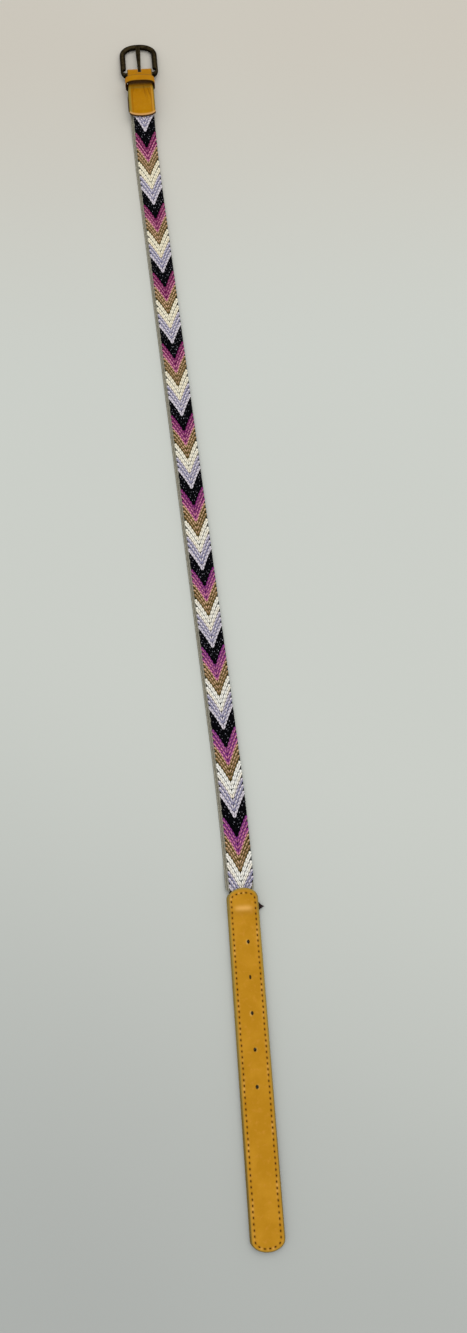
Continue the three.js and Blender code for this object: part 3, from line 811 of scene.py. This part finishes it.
def tip_inset(station, across):
    """Distance in from the tip's outline, measured along the line to its nearest end's middle."""
    into = np.maximum(TIP_START + TIP_ROUND - station, station - TIP_END + TIP_ROUND)
    into = np.maximum(into, 0)
    length = np.hypot(into, across)
    share = np.hypot(into / TIP_ROUND, across / TIP_HALF)
    radius = length / np.maximum(share, 1e-6)
    return np.where(length < 1e-6, TIP_HALF, radius - length)


def tip_point(station, across, height):
    """Point of the tip, which leans across the strap's line and widens a little to its end."""
    share = (station - TIP_START) / (TIP_END - TIP_START)
    lean = TIP_LEAN[0] + (TIP_LEAN[1] - TIP_LEAN[0]) * share
    narrow = TIP_NARROW[0] + (TIP_NARROW[1] - TIP_NARROW[0]) * share
    return strap(station, across * narrow + lean, height)


def tip_stations(cell=0.6):
    """Stations of the tip: even cells between the round ends, cosine spacing on them."""
    inner = np.linspace(TIP_START + TIP_ROUND, TIP_END - TIP_ROUND,
                        round((TIP_END - TIP_START - 2 * TIP_ROUND) / cell) + 1)
    fine = TIP_ROUND * np.cos(np.linspace(0, np.pi / 2, 16))
    return np.concatenate([TIP_START + TIP_ROUND - fine, inner[1:-1],
                           TIP_END - TIP_ROUND + fine[::-1]])


def open_holes(station, across, size):
    """Opens the punched holes at a share of their size: the square of cells in the middle of each
    becomes an ellipse, and the rings of cells outside it ease back to the grid. Gives the grid,
    the kept cells and how close each point is to a hole's rim."""
    block, reach = 2, 7
    keep = np.ones((station.shape[0] - 1, station.shape[1] - 1), bool)
    rim = np.zeros_like(station)
    for hole_station, hole_across, half_along, half_wide, _ in HOLES:
        half_along, half_wide = half_along * size, half_wide * size
        row = int(np.abs(station[:, station.shape[1] // 2] - hole_station).argmin())
        column = int(np.abs(across[row] - hole_across).argmin())
        rows = np.arange(station.shape[0])[:, None] - row
        columns = np.arange(station.shape[1])[None, :] - column
        ring = np.maximum(np.abs(rows), np.abs(columns))
        length = np.maximum(np.hypot(rows, columns), 1e-6)
        grow = 0.6 * np.maximum(ring - block, 0)
        target_s = hole_station + (half_along + grow) * rows / length
        target_a = hole_across + (half_wide + grow) * columns / length
        ease = smooth(ring.astype(float), block, reach)
        near = ring <= reach
        station = np.where(near, target_s + (station - target_s) * ease, station)
        across = np.where(near, target_a + (across - target_a) * ease, across)
        rim = np.maximum(rim, np.where(near, np.exp(-np.maximum(ring - block, 0) / 0.8), 0))
        keep[row - block:row + block, column - block:column + block] = False
    return station, across, keep, rim


# Creases over the end of the band: station, slant across, depth, width, from and to across
CREASES = [(776.5, 0.02, 0.10, 1.2, -9.0, 9.0), (781.5, 0.05, 0.30, 0.8, -7.5, 10.5),
           (784.5, -0.03, 0.16, 0.6, 1.0, 10.0), (845.0, 0.6, 0.08, 0.7, -8.0, -1.0),
           (866.0, 0.25, 0.07, 0.9, -7.0, 8.0), (934.0, -0.2, 0.07, 0.9, -9.0, 6.0)]


def stitch_nearness(station, across):
    """One at a stitch and fading to nought within a millimetre or so of it."""
    s, a, ds, da = STITCHES
    offset_s, offset_a = station.ravel()[:, None] - s, across.ravel()[:, None] - a
    along, aside = offset_s * ds + offset_a * da, offset_a * ds - offset_s * da
    near = np.exp(-((along / 0.95) ** 2) - (aside / 0.6) ** 2).max(1)
    return near.reshape(station.shape)


def seam_inset(station):
    """How far in from the tip's outline the stitches run: deeper at the top, less at the end."""
    return np.interp(station, [TIP_START + SEAM_TOP, TIP_START + TIP_ROUND, TIP_END - TIP_ROUND,
                               TIP_END - SEAM_END],
                     [SEAM_TOP, STITCH_INSET, STITCH_INSET, SEAM_END])


def tip_relief(station, across):
    """How the tip's face rises and dips: a groove along the stitches, with the leather pinched at
    each one, the creases, and a slow unevenness made of a few sines."""
    inset = tip_inset(station, across) - seam_inset(station)
    groove = -0.2 * bell(inset, 0.6) - 0.32 * stitch_nearness(station, across)
    swell = 0.1 * bell(inset + 1.3, 0.7)
    uneven = 0.07 * np.sin(station / 9 + 0.2 * across) * np.sin(station / 23 + 1)
    uneven += 0.05 * np.sin(station / 5.1 - 0.5 * across)
    relief = groove + swell + uneven
    for at, slant, depth, width, left, right in CREASES:
        line = bell(station - at - slant * across, width)
        relief -= depth * line * smooth(across, left, left + 2) * (1 - smooth(across, right - 2, right))
    return relief


def tip_face(station, across):
    """Height of the tip's upper face, without the rounding of its outline."""
    over = 1 - smooth(station, *TIP_STEP)
    within = 1 - smooth(np.abs(across), *PINCH)
    return TIP_LOW + TIP_RISE * over * within + TIP_THICK + tip_relief(station, across)


def stitch_highlight(station, across, line):
    """How strongly the leather puffed between stitches takes a painted highlight: strong in some
    stretches, faint in others.
    """
    stretch = np.sin(station / 11 + 2 * np.sign(across)) * np.sin(station / 4.3 + across)
    return np.clip(line * (0.1 + 0.65 * stretch), 0, 1)


def lit_side(station, across):
    """How much the lit lips of the punched holes catch the light: the left ones in full, the right
    ones less, and nought elsewhere."""
    lit = 0.0
    for hole_station, hole_across, _, _, side in HOLES:
        lip = across < hole_across - 0.2 if side < 0 else across > hole_across
        share = {-1: 1.0, 0: 0.0, 1: 0.6}[side]
        lit = np.maximum(lit, share * (lip & (np.abs(station - hole_station) < 4)))
    return lit


def tip_tones(station, across, inset, rim, front):
    """Tags of one tip leather: a dark burnished edge, painted shade round the holes and on the back
    leather, painted shade in pits at the stitches, painted highlights between them and over the
    band's end, painted shade on a rim that lessens towards the end, painted highlights on lit lips,
    and painted shadow below."""
    # Painted shade: the dark burnished edge also rings the front's holes, and the back leather is dark
    # all over where it shows through them and beside the left edge
    edge = np.minimum(inset, 1.5 * (1 - rim) if front else 0.3)
    # Painted shade in the pits round each stitch
    near = stitch_nearness(station, across) * front
    seam = bell(inset - seam_inset(station), 0.75) * (1 - near) ** 2
    # Painted highlights: on the leather puffed between the stitches, and where it rises over the band's
    # end
    shine = 0.7 * bell(station - SHINE_AT - 0.03 * across, 2.0) * bell(across, 6.5, 4)
    puff = np.maximum(stitch_highlight(station, across, seam), shine) * front
    # Painted shade on the rounded rim outside the seam, lessening towards the end
    rim_shade = 0.85 * (1 - smooth(inset, 0.9, 2.1)) * (1 - 0.5 * smooth(station, 830, 960))
    # Painted highlights on the lit lips of the holes
    lit = 0.75 * smooth(rim, 0.1, 0.6) * lit_side(station, across) * front
    # The underside gets painted shadow, which also darkens the holes' walls towards the bottom
    return {"inset": both_faces(edge), "pit": both_faces(0.95 * near), "puff": both_faces(puff),
            "rim": both_faces(rim_shade), "raw": both_faces(lit, 0.0),
            "grime": both_faces(np.zeros_like(inset), 1.0)}


def tip_layers():
    """The two leathers of the tip, with punched holes and rounded edges."""
    rows = tip_stations()
    columns = graded(TIP_HALF)
    for name, node in (("tip_front_leather", "tip_front"), ("tip_back_leather", "tip_back")):
        front = node == "tip_front"
        station = rows[:, None] + 0 * columns[None, :]
        across = columns[None, :] * tip_half(rows)[:, None] / TIP_HALF
        station, across, keep, rim = open_holes(station, across, 1 if front else BACK_HOLE)
        inset = tip_inset(station, across)
        if front:
            high = tip_face(station, across)
            low = high - tip_relief(station, across) - TIP_THICK
            spread = across
        else:
            low = np.zeros_like(station)
            high = low + TIP_THICK
            spread = across + BACK_SPREAD * np.minimum(across, 0) / TIP_HALF
        centre = (low + high) / 2
        top = centre + (high - centre) * rounded(inset, FACE_ROUND) - HOLE_DIP * rim
        bottom = centre + (low - centre) * rounded(inset, UNDER_ROUND)
        skin = slab(tip_point(station, spread, top), tip_point(station, spread, bottom), keep)
        points, faces, tags = used_only(*skin, tip_tones(station, across, inset, rim, front))
        made = piece(name, points, faces, TIP_LEATHER, "strap", tags=tags,
                     merge=True)
        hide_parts(node)


def stitch_places():
    """Evenly spaced places on a closed line inside the tip's outline: two straight sides and two
    half ellipses. Gives station and across of each stitch and the direction of the line."""
    angle = np.linspace(0, np.pi, 200)
    wide = TIP_HALF - STITCH_INSET
    upper, lower = TIP_START + TIP_ROUND, TIP_END - TIP_ROUND
    side = np.linspace(upper, lower, 800)
    line_s = np.concatenate([upper - (TIP_ROUND - SEAM_TOP) * np.sin(angle), side[1:-1],
                             lower + (TIP_ROUND - SEAM_END) * np.sin(angle), side[-2::-1]])
    line_a = np.concatenate([-wide * np.cos(angle), np.full(len(side) - 2, wide),
                             wide * np.cos(angle), np.full(len(side) - 1, -wide)])
    run = np.concatenate([[0], np.cumsum(np.hypot(np.diff(line_s), np.diff(line_a)))])
    count = round(run[-1] / STITCH_PITCH)
    at = (np.arange(count) + 0.5) / count * run[-1]
    s, a = (np.interp(at, run, line) for line in (line_s, line_a))
    ds, da = (np.interp(at + 0.2, run, line) - np.interp(at - 0.2, run, line)
              for line in (line_s, line_a))
    size = np.hypot(ds, da)
    jitter = RNG.uniform(-0.12, 0.12, (2, len(s)))
    return s + jitter[0], a + jitter[1], ds / size, da / size


STITCHES = stitch_places()


def tip_stitches():
    """Brown thread stitches lying in the tip's groove."""
    s, a, ds, da = STITCHES
    centre = tip_point(s, a, tip_face(s, a) + 0.1)
    end_s, end_a = s + ds * STITCH_HALF, a + da * STITCH_HALF
    ahead = tip_point(end_s, end_a, tip_face(end_s, end_a) + 0.02)
    along = (ahead - centre) * RNG.uniform(0.85, 1.15, (len(s), 1))
    side = np.cross(along, [0, 0, 1])
    side *= 0.42 / np.linalg.norm(side, axis=1)[:, None]
    up = np.broadcast_to([0, 0, 0.3], centre.shape)
    points, faces, uv = tubes(beads(centre, along, side, up))
    piece("tip_stitches", points, faces, THREAD, "strap", uv)


def loose_yarn():
    """A frayed wedge of dark yarn ends beside the tip: strands that fan out from the seam and
    thin towards their points."""
    y = YARN_END
    count = y["strands"]
    middle = (y["start"] + y["end"]) / 2
    spread = (np.linspace(-1, 1, count) + RNG.uniform(-0.1, 0.1, count))[:, None]
    t = np.linspace(0, 1, 9)[None, :]
    root = middle + spread * y["root_half"]
    point = middle + y["drift"] + spread * y["point_half"]
    reach = y["reach"] * (1 - 0.55 * np.abs(spread)) + RNG.uniform(-0.3, 0.3, (count, 1))
    station = root + (point - root) * t
    across = TIP_HALF - 0.6 + (reach + 0.9) * t
    height = y["height"] + 0.5 * RNG.uniform(-1, 1, (count, 1)) * (1 - 0.5 * t)
    height = height + 0.35 * np.sin(3 * t + spread)
    radius = y["radius"] * (1 - 0.75 * t ** 1.5)
    angle = ring_angles(7)
    ring_s = station[..., None] + radius[..., None] * np.cos(angle)
    ring_z = height[..., None] + radius[..., None] * np.sin(angle)
    rings = tip_point(ring_s, across[..., None] + 0 * ring_s, np.maximum(ring_z, 0.6))
    points, faces, uv = tubes(rings)
    made = piece("frayed_yarn_end", points, faces, FRAY, "strap", uv)
    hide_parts("loose_yarn_end")


def chape_end(across):
    """Station of the flap's end: a shallow half ellipse across the strap."""
    share = np.clip(np.abs(across) / CHAPE_HALF, 0, 1)
    return CHAPE_END - CHAPE_BOW * (1 - np.sqrt(1 - share ** 2))


# Wrinkles in the upper flap: station, across, length along, half-width, depth, slant
WRINKLES = [(23.0, 3.2, 7.0, 0.45, 0.28, 0.12), (24.5, 7.4, 5.0, 0.6, 0.3, 0.2),
            (21.0, -7.0, 4.0, 0.5, 0.18, -0.15), (28.0, 5.2, 5.0, 0.4, 0.16, 0.1)]


def wrinkle(station, across):
    """Depth of the short wrinkles: each a bell across its own slanting line and along it."""
    depth = 0.0
    for at, middle, length, half, deep, slant in WRINKLES:
        offset = across - middle - slant * (station - at)
        depth = depth + deep * bell(offset, half) * bell(station - at, length)
    return depth


def chape_relief(station, across):
    """Dips in the upper flap: a crease along each side and a few short wrinkles."""
    side = bell(CHAPE_HALF - np.abs(across) - 3.2, 0.5) * smooth(station, 17, 22)
    return -0.2 * side * (1 - smooth(station, 40, 44)) - wrinkle(station, across)


def chape_grid():
    """Rows and columns of the folded sheet. A row's kind is 0 on the lower flap, 1 in the fold and
    2 on the upper flap, and its value is a share of the flap's length, or an angle in the fold."""
    last = 1 - 0.02 * (1 - np.cos(np.linspace(0, np.pi / 2, 6)))
    lower, upper = (np.concatenate([last, np.linspace(0.965, SLOT_END / reach, 70),
                                    np.linspace(SLOT_END / reach, 0, 9)[1:]])
                    for reach in (UNDER_END, CHAPE_END))
    fold = np.linspace(0, np.pi, 25)[1:-1]
    kinds = np.repeat([0, 1, 2], [len(lower), len(fold), len(upper)])
    edge = graded(CHAPE_HALF)
    beside = np.linspace(-edge[-7], -SLOT_HALF, 16)
    columns = np.concatenate([edge[:6], beside, np.linspace(-SLOT_HALF, SLOT_HALF, 9), -beside,
                              edge[-6:]])
    return kinds, np.concatenate([lower, fold, upper[::-1]]), np.unique(np.round(columns, 6))


def chape_tones(kind, station, across, inset, end, half):
    """Tags of the folded leather: raw cut leather at its end with a painted highlight, painted shadow
    under the keeper, along the end and on the lower flap, painted shade on the rims and below the
    keeper, painted highlights inside the right rim and near the end, and painted shade in the
    creases and wrinkles."""
    on_top = kind == 2
    start, stop = KEEPER["start"], KEEPER["end"]
    # Light band near the flap's end: the raw cut edge with a painted highlight
    raw = 0.75 * smooth(station, end - 2.1, end - 1.6) * on_top
    # Painted shadow under the keeper and along the flap's end, painted shade over the lower flap and on
    # the underside
    grime = 0.92 * (1 - smooth(station, stop - 4, stop + 0.6)) * on_top
    grime = grime * smooth(station, start - 1, start + 1)
    grime = np.maximum(grime, 0.95 * (1 - smooth(end - station, 0.5, 1.1)) * on_top)
    grime = np.where(kind == 0, 0.45, grime)
    from_left, from_right = across + half, half - across
    tab = on_top * smooth(station, stop, stop + 2)
    # Painted shade on the rounded side rims and in the penumbra below the keeper
    rim = 0.75 * (1 - smooth(from_left, 1.6, 3.0)) + 0.6 * (1 - smooth(from_right, 0.6, 1.6))
    rim = np.maximum(rim, 0.6 * (1 - smooth(station, stop + 1, stop + 4)))
    # Painted highlights along the right side and near the end
    puff = bell(from_right - 2.2, 0.6) + 0.5 * bell(end - station - 2, 0.7)
    crease = bell(from_right - 3.1, 0.5) + bell(from_left - 3.5, 0.5)
    # Painted shade in the side creases and the wrinkles
    pit = np.clip(0.4 * crease * tab + 2.2 * wrinkle(station, across) * on_top, 0, 0.8)
    return {"inset": both_faces(inset), "raw": both_faces(raw), "rim": both_faces(rim * tab),
            "puff": both_faces(0.55 * puff * tab), "pit": both_faces(pit),
            "grime": both_faces(grime, 0.7)}


def chape_leather():
    """Folded leather: a sheet carried along its side view, which is a flat run under the band, a
    half turn round the bar and a flat run over the band. Its slot lets the prong through."""
    kinds, value, columns = chape_grid()
    kind, across = kinds[:, None] + 0 * columns, columns[None, :] + 0 * kinds[:, None]
    end = chape_end(across) - (CHAPE_END - UNDER_END) * (kind == 0)
    station = np.where(kind == 1, 0.0, value[:, None] * end)
    narrow = FOLD_HALF / CHAPE_HALF + (1 - FOLD_HALF / CHAPE_HALF) * smooth(station, *TAPER)
    half = CHAPE_HALF * narrow
    within = np.abs(columns) < SLOT_HALF - 1e-6
    arc = SLOT_HALF - np.sqrt(np.maximum(SLOT_HALF ** 2 - columns ** 2, 0))
    station = station - arc * within * (kind != 1) * bell(station - SLOT_END, 2.5)
    across = across * narrow
    inset = np.minimum(half - np.abs(across), np.where(kind == 1, 9.0, end - station))
    angle = np.where(kind == 1, value[:, None], np.where(kind == 0, 0.0, np.pi))
    skive = np.where(kind == 2, (LEATHER - SKIVED) * smooth(station, SKIVE_FROM, CHAPE_END), 0.0)
    relief = np.where(kind == 2, chape_relief(station, across), 0.0)
    share = rounded(inset, FACE_ROUND)
    outer = LEATHER / 2 * share - skive + relief * share
    inner = -LEATHER / 2 * rounded(inset, 0.4)
    aside = UNDER_SPREAD * (kind == 0) * smooth(station, 6, 24)
    across = across - aside * np.clip(-across / CHAPE_HALF, 0, 1)

    def skin(offset):
        radius = FOLD - LEATHER / 2 + offset
        forward = np.where(kind == 1, radius * np.sin(angle), -station)
        return strap(-forward, across, FOLD - radius * np.cos(angle))

    slot_columns = (columns[:-1] > -SLOT_HALF - 1e-6) & (columns[1:] < SLOT_HALF + 1e-6)
    reach = np.where(kinds == 0, UNDER_END, CHAPE_END)
    slot_rows = (value * reach * (kinds != 1) < SLOT_END + 1e-6) | (kinds == 1)
    keep = ~((slot_rows[:-1] & slot_rows[1:])[:, None] & slot_columns[None, :])
    # Painted shade round the prong's slot, in the burnished outline's colour
    by_slot = (np.abs(columns) < SLOT_HALF + 0.3)[None, :] & (station < SLOT_END + 0.3)
    inset = np.minimum(inset, np.where(by_slot, 0.2, 9.0))
    points, faces, tags = used_only(*slab(skin(outer), skin(inner), keep),
                                    chape_tones(kind, station, across, inset, end, half))
    made = piece("chape_leather", points, faces, CHAPE_LEATHER, "strap",
                 tags=tags, merge=True)
    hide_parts("chape")


def keeper_line():
    """Middle line of the keeper's wall seen along the strap: a superellipse over the strap, two
    legs, round corners and a flat run under it."""
    k = KEEPER
    grow = k["thick"] / 2
    half, corner, floor, spring = k["half"] + grow, 1 + grow, k["floor"] - grow, 2 * FOLD
    cos, sin = superround(np.linspace(0, np.pi, 70), k["power"])
    quarter = np.linspace(0, np.pi / 2, 7)
    x = np.concatenate([half * cos, np.full(5, -half), -half + corner * (1 - np.cos(quarter)),
                        np.linspace(-half + corner, half - corner, 20)[1:-1],
                        half - corner * (1 - np.cos(quarter[::-1])), np.full(5, half)])
    leg = np.linspace(spring, floor + corner, 7)[1:-1]
    round_corner = floor + corner * (1 - np.sin(quarter))
    z = np.concatenate([spring + (k["bow"] + grow) * sin, leg, round_corner, np.full(18, floor),
                        round_corner[::-1], leg[::-1]])
    return x, z


def keeper_leather():
    """Leather loop: a rounded rectangle carried round the keeper's line."""
    x, z = keeper_line()
    dx, dz = np.roll(x, -1) - np.roll(x, 1), np.roll(z, -1) - np.roll(z, 1)
    size = np.hypot(dx, dz)
    nx, nz = dz / size, -dx / size
    angle = ring_angles(28)
    cos, sin = superround(angle, 5)
    wide = (KEEPER["end"] - KEEPER["start"]) / 2
    middle = (KEEPER["end"] + KEEPER["start"]) / 2
    lift = KEEPER["thick"] / 2 * sin
    across = x[:, None] + nx[:, None] * lift
    height = z[:, None] + nz[:, None] * lift
    wave = 0.12 * np.sin(x / 5 + 1)[:, None]
    station = middle + wide * cos[None, :] + wave + 0 * across
    points, faces, uv = tubes(strap(station, across + KEEPER["shift"], height)[None], loop=True)
    inset = np.broadcast_to(wide * (1 - np.abs(cos)), across.shape)
    # Painted shadow on the keeper's inner side; its front edge is darkened the same way
    inner_shade = np.maximum(smooth(-sin, 0.2, 0.8), 0.95 * smooth(cos, 0.94, 0.99))
    inner_shade = np.broadcast_to(inner_shade, across.shape).ravel()
    tags = {"inset": inset.ravel() + 0.12, "grime": inner_shade}
    made = piece("keeper_leather", points, faces, CHAPE_LEATHER, "strap", uv, tags)
    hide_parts("keeper_loop")


# Buckle


def buckle_place(x, y, z):
    """Point of the buckle from its own plane, turned down about the bar to the table."""
    y, z = y * math.cos(TILT) - z * math.sin(TILT), y * math.sin(TILT) + z * math.cos(TILT)
    return np.stack(np.broadcast_arrays(BAR[0] + x, BAR[1] + y, BAR[2] + z), -1)


def joined(first, second):
    """Two skins made by tubes as one: their points, faces and uv."""
    points, faces, uv = first
    more_points, more_faces, more_uv = second
    return (np.concatenate([points, more_points]),
            [*faces, *(f + len(points) for f in more_faces)], [*uv, *more_uv])


def horseshoe():
    """Inner and outer outlines of the frame from heel to heel, point by point: legs with a
    rounded heel, then superellipses over the arch."""
    f = FRAME
    leg = np.linspace(0, 1, 44)[:-1]
    angle = np.linspace(0, np.pi, 72)
    inner_y = f["heel"] + (f["arch_from"] - f["heel"]) * leg
    bend = np.clip((inner_y - f["heel"]) / (f["side_from"] - f["heel"]), 0, 1)
    outer_x = f["heel_half"] + (f["side_half"] - f["heel_half"]) * np.sqrt(1 - (1 - bend) ** 2)
    ci, si = superround(angle, f["inner_power"])
    co, so = superround(angle, f["outer_power"])
    inner_arch = (f["inner_half"] * ci, f["arch_from"] + (f["inner_top"] - f["arch_from"]) * si)
    outer_arch = (f["side_half"] * co, f["arch_from"] + (f["top"] - f["arch_from"]) * so)
    nick = f["nick_deep"] * bell(inner_y - f["nick"], f["nick_long"], 4)
    inner_x = f["inner_half"] + nick
    ix = np.concatenate([inner_x, inner_arch[0], -inner_x[::-1]])
    iy = np.concatenate([inner_y, inner_arch[1], inner_y[::-1]])
    ox = np.concatenate([outer_x, outer_arch[0], -outer_x[::-1]])
    oy = np.concatenate([inner_y, outer_arch[1], inner_y[::-1]])
    return ix, iy, ox, oy


def buckle_frame():
    """Cast horseshoe with softly bevelled edges, and the bar across its heel."""
    ix, iy, ox, oy = horseshoe()
    angle = ring_angles(24)
    cos, sin = superround(angle, 2.9)
    mid_x, mid_y, half_x, half_y = (ix + ox) / 2, (iy + oy) / 2, (ox - ix) / 2, (oy - iy) / 2
    x = mid_x[:, None] + half_x[:, None] * cos
    y = mid_y[:, None] + half_y[:, None] * cos
    z = FRAME["thick"] / 2 * sin[None, :] + 0 * x
    cast = tubes(buckle_place(x, y, z)[None])
    # Rubbed wear and a painted highlight: along the middle of the top face and on the upper bevels
    rub_and_sheen = (0.55 * bell(cos, 0.35) + 0.2 * np.abs(np.sin(2 * angle)) ** 6) * (sin > 0)
    turn = ring_angles(32)
    bar_x = np.linspace(-BAR_HALF, BAR_HALF, 12)[:, None] + 0 * turn
    bar = tubes(buckle_place(bar_x, BAR_RADIUS * np.cos(turn), BAR_RADIUS * np.sin(turn))[None])
    rub_and_sheen = np.concatenate([np.broadcast_to(rub_and_sheen, x.shape).ravel(), [0, 0],
                          np.full(len(bar[0]), 0.4)])
    points, faces, uv = joined(cast, bar)
    made = piece("frame_and_bar", points, faces, GUNMETAL, "frame", uv, {"rub_and_sheen": rub_and_sheen})
    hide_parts("buckle_frame")


def prong():
    """Prong: an eye round the bar, and a shank that climbs from it to lie over the arch. The
    shank's rings stand between an upper and a lower line, the eye's are carried round the bar."""
    p = PRONG
    rest = FRAME["thick"] / 2 + GAP
    y = p["reach"] - (p["reach"] - p["eye"]) * (1 - np.cos(np.linspace(0, np.pi / 2, 44)))
    low = np.interp(y, [p["eye"], 30, 33, p["reach"]], [-0.4, rest, rest, rest + 0.5])
    high = np.interp(y, [p["eye"], 28, 31.5, 33.5, p["reach"]],
                     [1.4, rest + 1.9, rest + 1.85, rest + 1.4, rest + 0.9])
    width = p["base"] + (p["broad"] - p["base"]) * smooth(y, 3, p["shoulder"])
    into = np.clip((y - p["reach"] + 2.6) / 2.6, 0, 1)
    width *= 0.25 + 0.75 * np.sqrt(1 - into ** 2.4)
    angle = ring_angles(20)
    cos, sin = superround(angle, 3.0)
    x = (width / 2)[:, None] * cos
    z = ((low + high) / 2)[:, None] + ((high - low) / 2)[:, None] * sin
    shank = tubes(buckle_place(x, y[:, None] + 0 * x, z)[None])
    turn = ring_angles(48)[:, None]
    radius = p["eye"] + p["eye_wall"] * sin[None, :]
    eye = tubes(buckle_place(p["base"] / 2 * cos + 0 * turn, radius * np.cos(turn),
                             radius * np.sin(turn))[None], loop=True)
    # Rubbed wear, with a painted highlight, on the prong's bevels
    rub_and_sheen = np.concatenate([np.broadcast_to(0.3 * np.abs(np.sin(2 * angle)), x.shape).ravel(),
                          [0, 0], np.full(len(eye[0]), 0.1)])
    points, faces, uv = joined(shank, eye)
    made = piece("prong_strip", points, faces, GUNMETAL, "prong", uv, {"rub_and_sheen": rub_and_sheen})
    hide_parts("buckle_prong")


# Scene


def camera():
    """Camera at the photograph's angle and field of view."""
    data = bpy.data.cameras.new("camera")
    data.lens, data.sensor_width = LENS, SENSOR
    data.clip_start, data.clip_end = 0.01, 20.0
    made = in_scene("camera", data)
    look, up = Vector(CAMERA_LOOK).normalized(), Vector(CAMERA_UP)
    right = look.cross(up).normalized()
    up = right.cross(look)
    turn = Matrix((right, up, -look)).transposed().to_4x4()
    made.matrix_world = Matrix.Translation((BAR + CAMERA_FROM_BAR) * MM) @ turn
    bpy.context.scene.camera = made


def floor():
    """Plain pale floor."""
    mesh = bpy.data.meshes.new("floor")
    corners = [(-1, -1), (1, -1), (1, 1), (-1, 1)]
    mesh.from_pydata([(x * FLOOR_HALF, y * FLOOR_HALF, 0) for x, y in corners], [], [(0, 1, 2, 3)])
    mesh.materials.append(table_top())
    in_scene("floor", mesh)


def lights():
    """Soft daylight from above, and a wide window beyond the buckle, to the right."""
    world = bpy.data.worlds.new("world")
    world.use_nodes = True
    background = world.node_tree.nodes["Background"]
    background.inputs["Color"].default_value = SKY_COLOUR
    background.inputs["Strength"].default_value = SKY_STRENGTH
    bpy.context.scene.world = world
    data = bpy.data.lights.new("window", "AREA")
    data.size, data.energy, data.color = WINDOW["size"], WINDOW["power"], WINDOW["colour"]
    at = Vector(WINDOW["at"])
    facing = (-at).to_track_quat("-Z", "Y").to_matrix().to_4x4()
    in_scene("window", data).matrix_world = Matrix.Translation(at) @ facing
    bpy.context.scene.view_settings.view_transform = "Standard"


camera()
floor()
lights()
band_core()
woven_band()
band_specks_and_glints()
backing_strip()
chape_leather()
keeper_leather()
tip_layers()
tip_stitches()
loose_yarn()
buckle_frame()
prong()
